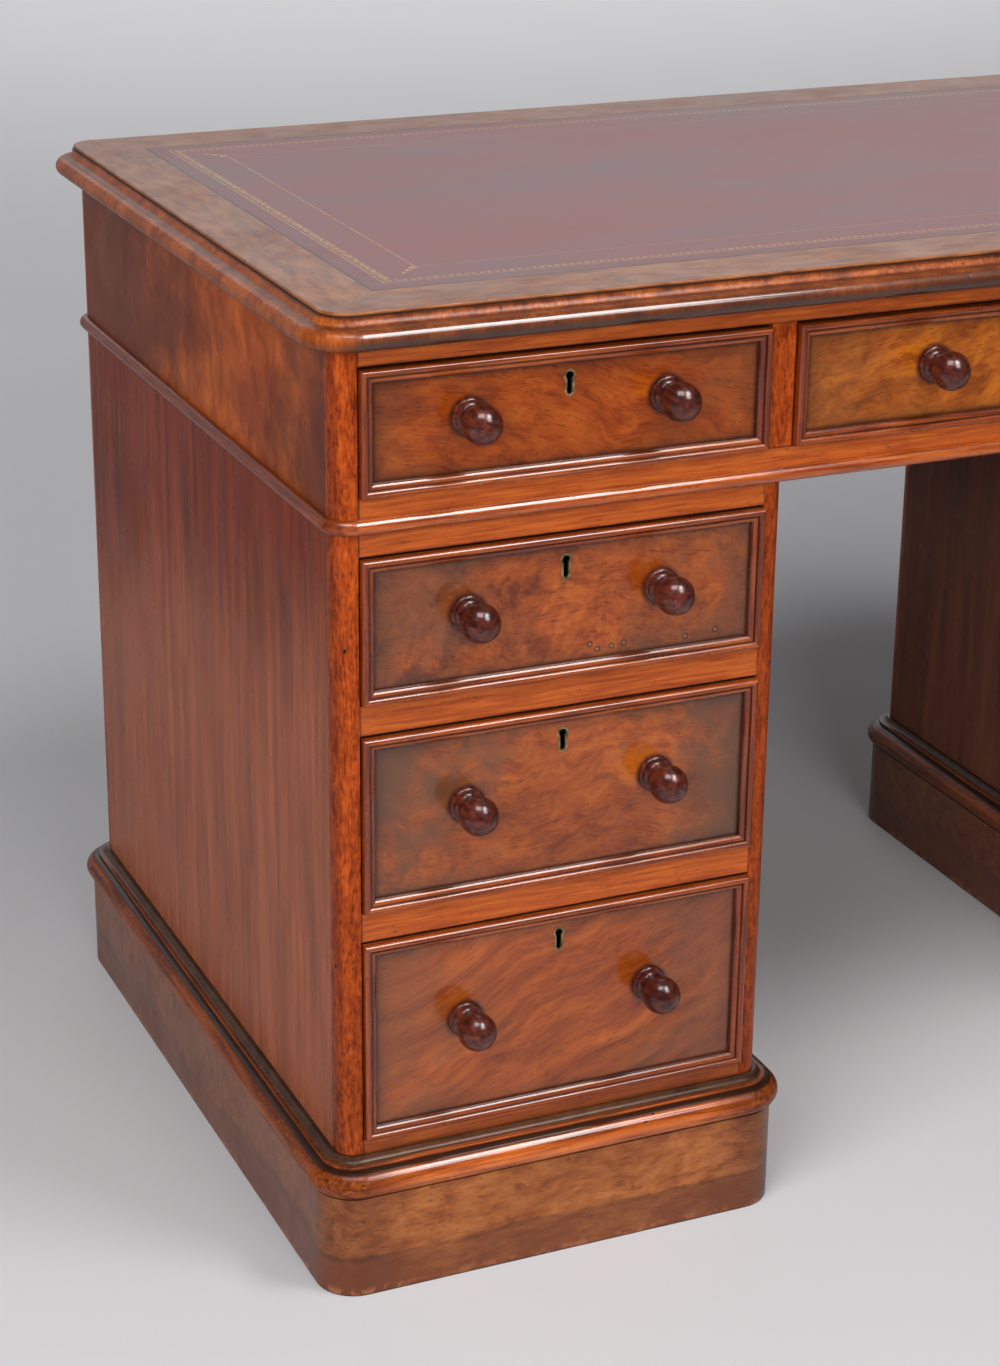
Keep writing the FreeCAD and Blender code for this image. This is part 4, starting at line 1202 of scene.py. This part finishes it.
def make_frieze():
    ends, base_rails, top_rails, partitions = [], [], [], []
    rail_x = HALF_LENGTH - POST_WIDTH
    centre_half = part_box("front_frieze_drawer_centre")[1].x + SIDE_GAP
    for sign in (-1, 1):
        inner = sign * (HALF_LENGTH - SIDE_THICKNESS)
        low = (inner, -PANEL_Y, PEDESTAL_TOP)
        ends.append(board("end", low, (sign * HALF_LENGTH, PANEL_Y, TOP_UNDERSIDE), "z"))
        face, back = sign * HALF_DEPTH, sign * (HALF_DEPTH - RAIL_DEPTH)
        base_rails.append(board("rail", (-rail_x, face, PEDESTAL_TOP), (rail_x, back, FRIEZE_SILL), "x"))
        top_rails.append(board("rail", (-rail_x, face, FRIEZE_HEAD), (rail_x, back, TOP_UNDERSIDE), "x"))
        low = (sign * centre_half, -HALF_DEPTH, FRIEZE_SILL)
        high = (sign * (centre_half + DIVIDER), HALF_DEPTH, FRIEZE_HEAD)
        partitions.append(board("partition", low, high, "z"))
        low = (sign * (centre_half + DIVIDER), -CROSS_BOARD / 2, FRIEZE_SILL)
        high = (inner, CROSS_BOARD / 2, FRIEZE_HEAD)
        partitions.append(board("cross_board", low, high, "x"))
    low = (-centre_half, -CROSS_BOARD / 2, FRIEZE_SILL)
    partitions.append(board("cross_board", low, (centre_half, CROSS_BOARD / 2, FRIEZE_HEAD), "x"))
    for name, shells, finish, slot, node in (
        ("frieze_ends", ends, FRIEZE_END_WOOD, "figured_veneer", "frieze_end_panels"),
        ("frieze_lower_rails", base_rails, RAIL_WOOD, "mahogany", "frieze_base_rails"),
        ("frieze_upper_rails", top_rails, RAIL_WOOD, "mahogany", "frieze_top_rails"),
        ("frieze_dividers", partitions, POST_WOOD, "mahogany", "frieze_partitions"),
    ):
        finished(joined(name, shells), finish, node, slot=slot)
    uprights = posts("frieze_posts", 0, CORNER_X, PEDESTAL_TOP, TOP_UNDERSIDE)
    finished(uprights, POST_WOOD, "frieze_corner_posts")
    bead = ring("frieze_base_bead", bead_section, 0, CORNER_X, CORNER_Y, PEDESTAL_TOP)
    finished(bead, BEAD_WOOD, "frieze_bead")


def bay_height(drawer):
    """The sill and the head of the opening that a drawer runs in."""
    low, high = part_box(f"front_{drawer}")
    return low.z - RUNNING_GAP, high.z + HEAD_GAP


def make_pedestal(hand, x):
    inner = HALF_PEDESTAL - SIDE_THICKNESS
    half_opening = HALF_PEDESTAL - POST_WIDTH
    edges = [PLINTH_TOP]
    for level in ("bottom", "middle", "top"):
        edges += bay_height(f"{hand}_drawer_{level}")
    edges.append(PEDESTAL_TOP)
    sides, rails = [], []
    for sign in (-1, 1):
        low = (x + sign * inner, -PANEL_Y, PLINTH_TOP)
        high = (x + sign * HALF_PEDESTAL, PANEL_Y, PEDESTAL_TOP)
        sides.append(board("side", low, high, "z", FINE_EDGE))
        for bottom, top in zip(edges[::2], edges[1::2]):
            low = (x - half_opening, sign * HALF_DEPTH, bottom)
            high = (x + half_opening, sign * (HALF_DEPTH - RAIL_DEPTH), top)
            rails.append(board("rail", low, high, "x"))
    finished(joined(f"{hand}_side_panels", sides), SIDE_WOOD, f"{hand}_pedestal_sides")
    finished(joined(f"{hand}_rails", rails), RAIL_WOOD, f"{hand}_pedestal_rails")
    uprights = posts(f"{hand}_posts", x, PEDESTAL_CORNER_X, PLINTH_TOP, PEDESTAL_TOP)
    finished(uprights, POST_WOOD, f"{hand}_pedestal_posts")
    corners = (x, PEDESTAL_CORNER_X, CORNER_Y)
    boards = ring(f"{hand}_plinth_boards", plinth_board_section, *corners, 0)
    finished(boards, PLINTH_WOOD, f"{hand}_plinth")
    mould = ring(f"{hand}_plinth_moulding", plinth_moulding_section, *corners, PLINTH_TOP)
    finished(mould, PLINTH_MOULDING_WOOD, "plinth_mouldings")


def finish_inner_boards():
    """The boards, runners and pegs inside keep their solids and get bare wood."""
    for node in (
        "frieze_runners_and_kickers",
        "frieze_bottom_board",
        "locating_pegs",
        "left_pedestal_boards",
        "right_pedestal_boards",
        "pedestal_runners",
    ):
        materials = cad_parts[node].data.materials
        materials.clear()
        materials.append(INNER_WOOD)


# Drawers, modelled with the middle of the sill at the origin and the face towards -Y


def keyhole(name, middle, wall, front, back):
    """A keyhole-shaped prism: a round eye over a leg with a rounded foot."""
    eye_radius = KEYHOLE_ROUND - wall
    leg = KEYHOLE_LEG - wall
    eye = middle + KEYHOLE_HEIGHT / 2 - KEYHOLE_ROUND
    foot = middle - KEYHOLE_HEIGHT / 2 + KEYHOLE_LEG
    shoulder = eye - math.sqrt(eye_radius ** 2 - leg ** 2)
    sweep = 360 - 2 * math.degrees(math.asin(leg / eye_radius))
    pen = Pen(name, leg, shoulder).arc(0, eye, sweep, 3 * ARC_STEPS).line(-leg, foot)
    prism = pen.arc(0, foot, 180).prism(back - front)
    return moved(prism, Matrix.Translation((0, (front + back) / 2, 0)))


def tail_heights(bottom, side_top, tails):
    """The middle and the half height of each dovetail."""
    pitch = (side_top - bottom) / tails
    return [(bottom + pitch * (order + 0.5), pitch * TAIL_SHARE / 2) for order in range(tails)]


def drawer_side(name, rear, bottom, side_top, half_front, tails):
    """The left-hand side of a drawer with its dovetails, drawn with its length along x."""
    pen = Pen(name, rear, bottom).line(rear, side_top).line(FRONT_BACK, side_top)
    for middle, half in reversed(tail_heights(bottom, side_top, tails)):
        root = half - TAIL_TAPER
        pen.line(FRONT_BACK, middle + root).line(FRONT_BACK - TAIL_LENGTH, middle + half)
        pen.line(FRONT_BACK - TAIL_LENGTH, middle - half).line(FRONT_BACK, middle - root)
    piece = pen.line(FRONT_BACK, bottom).prism(LINING_THICKNESS)
    return moved(piece, turned_at((LINING_THICKNESS / 2 - half_front, 0, 0), 1))


STRIP_LYING = Matrix(((0, -1, 0, 0), (0, 0, -1, 0), (1, 0, 0, 0), (0, 0, 0, 1)))


def mitred_strip(length):
    """One length of drawer moulding, drawn as inset and height, its ends cut to 45 degrees."""
    bead = MOULD_BEAD / 2
    foot = MOULD_BEAD + MOULD_QUIRK
    pen = Pen("strip", 0, 0).line(0, MOULD_STEM).arc(bead, MOULD_STEM, -180)
    pen.line(foot, MOULD_STEM + MOULD_QUIRK_RISE).arc(foot, MOULD_LIP, -90)
    strip = pen.line(MOULD_WIDTH, 0).prism(length)
    for sign in (-1, 1):
        edit(strip)
        bpy.ops.mesh.bisect(
            plane_co=(0, sign * length / 2, 0), plane_no=(1, sign, 0), use_fill=True, clear_outer=True
        )
    begin()
    return lay_grain(strip, "y")


def spigot_hole(x, z):
    """The cutter for the hole that a knob's spigot is glued in."""
    begin()
    depth = SPIGOT_LENGTH + CUT_OVERRUN
    middle = (x, FIELD_RECESS + SPIGOT_LENGTH - depth / 2, z)
    bpy.ops.mesh.primitive_cylinder_add(
        vertices=TURNED_STEPS, radius=SPIGOT_RADIUS, depth=depth, location=middle,
        rotation=(QUARTER, 0, 0)
    )
    bpy.ops.object.transform_apply()
    return bpy.context.object


class Drawer:
    """The pieces of one size of drawer, from which each drawer is copied."""

    def __init__(self, node, sill, head, tails):
        low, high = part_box(node)
        self.half_front = (high.x - low.x) / 2
        self.bottom = RUNNING_GAP
        self.top = head - sill - HEAD_GAP
        self.rear = high.y + HALF_DEPTH
        self.half_height = (self.top - self.bottom) / 2
        self.middle = (self.bottom + self.top) / 2
        self.knob_z = self.middle + KNOB_RISE
        self.knob_spread = WIDE_KNOB_SPREAD if "centre" in node else KNOB_SPREAD
        self.key_middle = head - sill - KEYHOLE_DROP
        self.tails = tails
        self.side_top = self.top - SIDE_DROP
        self.pieces = {
            "front": self.front(),
            "moulding": self.moulding(),
            "box": self.box(),
            "knobs": self.knobs(),
            "lock": self.lock(),
        }

    def both_sides(self, name):
        left = drawer_side(name, self.rear, self.bottom, self.side_top, self.half_front, self.tails)
        return left, copied(left, name, Matrix.Scale(-1, 4, Vector((1, 0, 0))))

    def lay_place(self, piece, reach_x, reach_z):
        """Stores each point's place on the face, and how far the face reaches from its middle."""
        at = vertex_places(piece)
        place = np.stack([at[:, 0], at[:, 2] - self.middle, at[:, 1]], 1)
        vector_layer(piece, "place", place, "POINT")
        reach = np.tile(np.array([reach_x, reach_z, self.knob_spread], np.float32), (len(at), 1))
        vector_layer(piece, "reach", reach, "POINT")

    def lock_block(self, name):
        half_case, half_plate = LOCK_WIDTH / 2, SELVEDGE_WIDTH / 2
        case_top = self.top - SELVEDGE_THICKNESS
        case_low = (-half_case, FRONT_BACK - LOCK_DEPTH, self.top - LOCK_HEIGHT)
        case = cube(name, case_low, (half_case, FRONT_BACK, case_top))
        plate_low = (-half_plate, FRONT_BACK - SELVEDGE_DEPTH, case_top)
        return case, cube(name, plate_low, (half_plate, FRONT_BACK, self.top))

    def front(self):
        low = (-self.half_front, FIELD_RECESS, self.bottom)
        front = board("front", low, (self.half_front, FRONT_BACK, self.top), "x")
        tools = [keyhole("keyhole", self.key_middle, 0, -CUT_OVERRUN, FRONT_BACK - LOCK_DEPTH / 2)]
        tools += self.lock_block("mortise")
        tools += self.both_sides("sockets")
        tools += [spigot_hole(sign * self.knob_spread, self.knob_z) for sign in (-1, 1)]
        for tool in tools:
            cut_away(front, tool)
        lay_grain(front, "x")
        self.lay_place(front, self.half_front - MOULD_WIDTH, self.half_height - MOULD_WIDTH)
        return front

    def moulding(self):
        """Four lengths of one moulding, mitred together round the edge of the front."""
        middle = Matrix.Translation((0, FIELD_RECESS, self.bottom + self.half_height))
        shells = []
        for turn, half_length, reach in (
            (0, self.half_front, self.half_height),
            (1, self.half_height, self.half_front),
        ):
            strip = mitred_strip(2 * half_length)
            for half_turn in (0, 2):
                turned = Matrix.Rotation(QUARTER * (turn + half_turn), 4, "Y")
                place = middle @ turned @ Matrix.Translation((0, 0, -reach)) @ STRIP_LYING
                shells.append(copied(strip, "strip", place))
            discard(strip)
        piece = varied("moulding", shells)
        self.lay_place(piece, self.half_front, self.half_height)
        return piece

    def box(self):
        inside = self.half_front - LINING_THICKNESS
        floor = self.bottom + BOTTOM_RISE
        shells = [lay_grain(side, "y") for side in self.both_sides("side")]
        above = floor + BOTTOM_THICKNESS
        low = (-inside, self.rear - BACK_THICKNESS, above)
        shells.append(board("back", low, (inside, self.rear, self.side_top - BACK_DROP), "x"))
        shells.append(board("bottom", (-inside, FRONT_BACK, floor), (inside, self.rear, above), "x"))
        return joined("box", shells)

    def knobs(self):
        """Two turned knobs with their spigots."""
        cove = KNOB_BASE_RADIUS - KNOB_BASE_ROUND - KNOB_NECK_RADIUS
        rounding = KNOB_BASE_RADIUS - KNOB_BASE_ROUND
        edge = KNOB_BASE_HEIGHT - KNOB_BASE_ROUND
        cove_top = KNOB_BASE_HEIGHT + cove
        ball_middle = KNOB_PROJECTION - KNOB_BALL_RADIUS
        ball_foot = ball_middle - math.sqrt(KNOB_BALL_RADIUS ** 2 - KNOB_NECK_RADIUS ** 2)
        sweep = 90 + math.degrees(math.atan2(ball_middle - ball_foot, KNOB_NECK_RADIUS))
        pen = Pen("knob", 0, -SPIGOT_LENGTH).line(SPIGOT_RADIUS, -SPIGOT_LENGTH).line(SPIGOT_RADIUS, 0)
        pen.line(KNOB_BASE_RADIUS, 0).line(KNOB_BASE_RADIUS, edge).arc(rounding, edge, 90)
        pen.arc(rounding, cove_top, -90).line(KNOB_NECK_RADIUS, ball_foot)
        knob = pen.arc(0, ball_middle, sweep, 2 * ARC_STEPS).turned(360, TURNED_STEPS)
        moved(knob, Matrix.Rotation(QUARTER, 4, "X"))
        shells = []
        for sign in (-1, 1):
            place = Matrix.Translation((sign * self.knob_spread, FIELD_RECESS, self.knob_z))
            shells.append(lay_grain(copied(knob, "knob", place), "y"))
        discard(knob)
        return joined("knobs", shells)

    def lock(self):
        """Brass lock with its plate on the top edge of the front, and the lining of the keyhole."""
        shells = list(self.lock_block("lock"))
        for shell in shells:
            soften(shell, FINE_EDGE)
        front, back = FIELD_RECESS - LINING_PROUD, FIELD_RECESS + LINING_DEPTH
        lining = keyhole("lining", self.key_middle, 0, front, back)
        through = (front - CUT_OVERRUN, back + CUT_OVERRUN)
        cut_away(lining, keyhole("keyway", self.key_middle, LINING_WALL, *through))
        piece = joined("lock", shells + [lining])
        self.lay_place(piece, LOCK_WIDTH / 2, self.half_height)
        return piece


PIECE_FINISHES = {
    "front": (FRONT_WOOD, "figured_veneer"),
    "moulding": (DRAWER_MOULDING_WOOD, "mahogany"),
    "box": (LINING_WOOD, "carcass_wood"),
    "knobs": (KNOB_WOOD, "mahogany"),
    "lock": (BRASS, "brass"),
}
DENTED_DRAWER = "front_left_drawer_top"


def place_drawer(drawer, name, matrix, tone, turn):
    """Copies the pieces of a drawer to one bay, with wood of their own."""
    for part, master in drawer.pieces.items():
        piece = copied(master, f"{name}_{part}_piece", matrix)
        if part == "front":
            vary_grain(piece, math.radians(turn))
            vector_layer(piece, "tone", np.tile(tone, (len(piece.data.vertices), 1)), "POINT")
        elif part != "lock":
            vary_grain(piece)
        finish, slot = PIECE_FINISHES[part]
        if part == "front" and name == DENTED_DRAWER:
            finish = DENTED_FRONT_WOOD
        elif part == "front" and "frieze" in name:
            finish = FRIEZE_FRONT_WOOD
        node = f"{name}_lock" if part == "lock" else name
        finished(piece, finish, node, body=name, slot=slot)


# Burr, smoke and redness of each front, and the turn of its grain in degrees
FIGURES = {
    "frieze_drawer_left": ((0.5, 0.4, 0.6), 14),
    "frieze_drawer_centre": ((0.6, 0.3, -0.8), -12),
    "frieze_drawer_right": ((0.5, 0.35, 0.3), -10),
    "left_drawer_top": ((0.95, 0.55, 0.2), 8),
    "left_drawer_middle": ((0.65, 0.9, 0.05), 4),
    "left_drawer_bottom": ((0.12, 0.45, 0.15), -24),
    "right_drawer_top": ((0.9, 0.5, 0.25), -8),
    "right_drawer_middle": ((0.65, 0.85, 0.1), -5),
    "right_drawer_bottom": ((0.12, 0.45, 0.15), 23),
}


def make_drawers():
    bays = [(f"frieze_drawer_{side}", 2) for side in ("left", "centre", "right")]
    for hand in PEDESTALS:
        bays += [(f"{hand}_drawer_top", 2), (f"{hand}_drawer_middle", 3), (f"{hand}_drawer_bottom", 3)]
    sizes = {}
    for bay, tails in bays:
        low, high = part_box(f"front_{bay}")
        sill, head = bay_height(bay)
        size = (round(high.x - low.x, 4), round(head - sill, 4))
        if size not in sizes:
            sizes[size] = Drawer(f"front_{bay}", sill, head, tails)
        for face, sign, turn in (("front", -1, 0), ("back", 1, 2)):
            place = turned_at(((low.x + high.x) / 2, sign * HALF_DEPTH, sill), turn)
            place_drawer(sizes[size], f"{face}_{bay}", place, *FIGURES[bay])
    for drawer in sizes.values():
        discard(*drawer.pieces.values())


# Stage

FLOOR_SIZE = 14
FLOOR_FADE = 2.4
SKY_DIM = 0.11
SKY_BRIGHT = 0.75

# Name, place, aim, width and height, and power of each lamp.
# The last two say whether it lights surfaces and whether it shows in reflections.
LAMPS = (
    ("key_softbox", (-3.1, -2.2, 2.0), (-0.2, -0.1, 0.4), (2.6, 2.6), 160, True, False),
    ("overhead_strip", (0.42, -1.25, 2.6), (-0.1, -0.1, 0.6), (0.8, 0.7), 32, True, True),
    ("edge_sheen", (0.45, -2.15, 2.6), (-0.2, -0.2, 0.4), (1.1, 1.2), 50, False, True),
    ("overhead_sheen", (-0.95, -0.95, 2.7), (-0.4, -0.1, 0.6), (1.2, 1.0), 36, False, True),
    ("front_fill", (-0.4, -4.4, 1.7), (0, 0, 0.4), (2.4, 1.6), 104, True, False),
    ("backdrop_wash", (2.6, 6.6, 3.3), (2.6, 6.8, 0), (8.0, 5.0), 165, True, True),
)


def make_stage():
    """A pale floor, painted paler behind the desk, where it is the backdrop, as painted light, and
    darker in front of the desk.
    """
    begin()
    bpy.ops.mesh.primitive_plane_add(size=FLOOR_SIZE, location=(0, 0, 0))
    floor = bpy.context.object
    floor.name = "pale_floor"
    finish = Finish("pale_paper", specular=0.2)
    back = finish.parts(finish.object_place())[1]
    # Painted light levels: the floor's colour is paler at the back and darker at the front
    finish.colour = finish.ramp(
        finish.spread(back, -FLOOR_FADE, FLOOR_FADE, 0.0, 1.0), (0.1, srgb(160, 159, 161)),
        (0.36, srgb(199, 198, 200)), (0.66, srgb(199, 198, 200)), (1.0, srgb(236, 235, 238))
    )
    finish.show("Roughness", 0.8)
    floor.data.materials.append(finish.done())


def make_lamps():
    for name, place, aim, size, power, diffuse, glossy in LAMPS:
        lamp = bpy.data.lights.new(name, "AREA")
        lamp.shape = "RECTANGLE"
        lamp.size, lamp.size_y = size
        lamp.energy = power
        holder = bpy.data.objects.new(name, lamp)
        holder.location = place
        holder.rotation_euler = (Vector(aim) - Vector(place)).to_track_quat("-Z", "Y").to_euler()
        holder.visible_diffuse = diffuse
        holder.visible_glossy = glossy
        bpy.context.scene.collection.objects.link(holder)


def make_sky():
    """A dim grey room, bright behind the desk where it is seen or reflected."""
    world = bpy.data.worlds.new("studio")
    world.use_nodes = True
    sky = Graph(world.node_tree)
    background = world.node_tree.nodes["Background"].inputs
    sky.put(srgb(214, 214, 218), background["Color"])
    _, y, z = sky.parts(sky.add("TexCoord").outputs["Generated"])
    backdrop = sky.ease(y, 0.2, 0.8) * sky.fade(z, 0.4, 0.8)
    path = sky.add("LightPath").outputs
    seen = sky.larger(path["Is Camera Ray"], path["Is Glossy Ray"])
    seen = sky.larger(seen, path["Is Transmission Ray"])
    sky.put(sky.spread(backdrop * seen, 0.0, 1.0, SKY_DIM, SKY_BRIGHT), background["Strength"])
    bpy.context.scene.world = world


CAMERA_PLACE = (-1.2583, -2.0992, 1.2542)
CAMERA_YAW = math.radians(23.865)
CAMERA_PITCH = math.radians(-21.631)
CAMERA_ROLL = math.radians(0.633)
CAMERA_LENS_MM = 77.64


def make_camera():
    camera = bpy.data.cameras.new("photograph_view")
    camera.lens = CAMERA_LENS_MM
    holder = bpy.data.objects.new("photograph_view", camera)
    level = Euler((QUARTER + CAMERA_PITCH, 0, -CAMERA_YAW)).to_matrix()
    turn = level @ Matrix.Rotation(CAMERA_ROLL, 3, "Z")
    holder.matrix_world = Matrix.Translation(CAMERA_PLACE) @ turn.to_4x4()
    bpy.context.scene.collection.objects.link(holder)
    bpy.context.scene.camera = holder


make_top()
make_frieze()
for hand, x in PEDESTALS.items():
    make_pedestal(hand, x)
finish_inner_boards()
make_drawers()
make_stage()
make_lamps()
make_sky()
make_camera()
bpy.context.scene.view_settings.view_transform = "Standard"
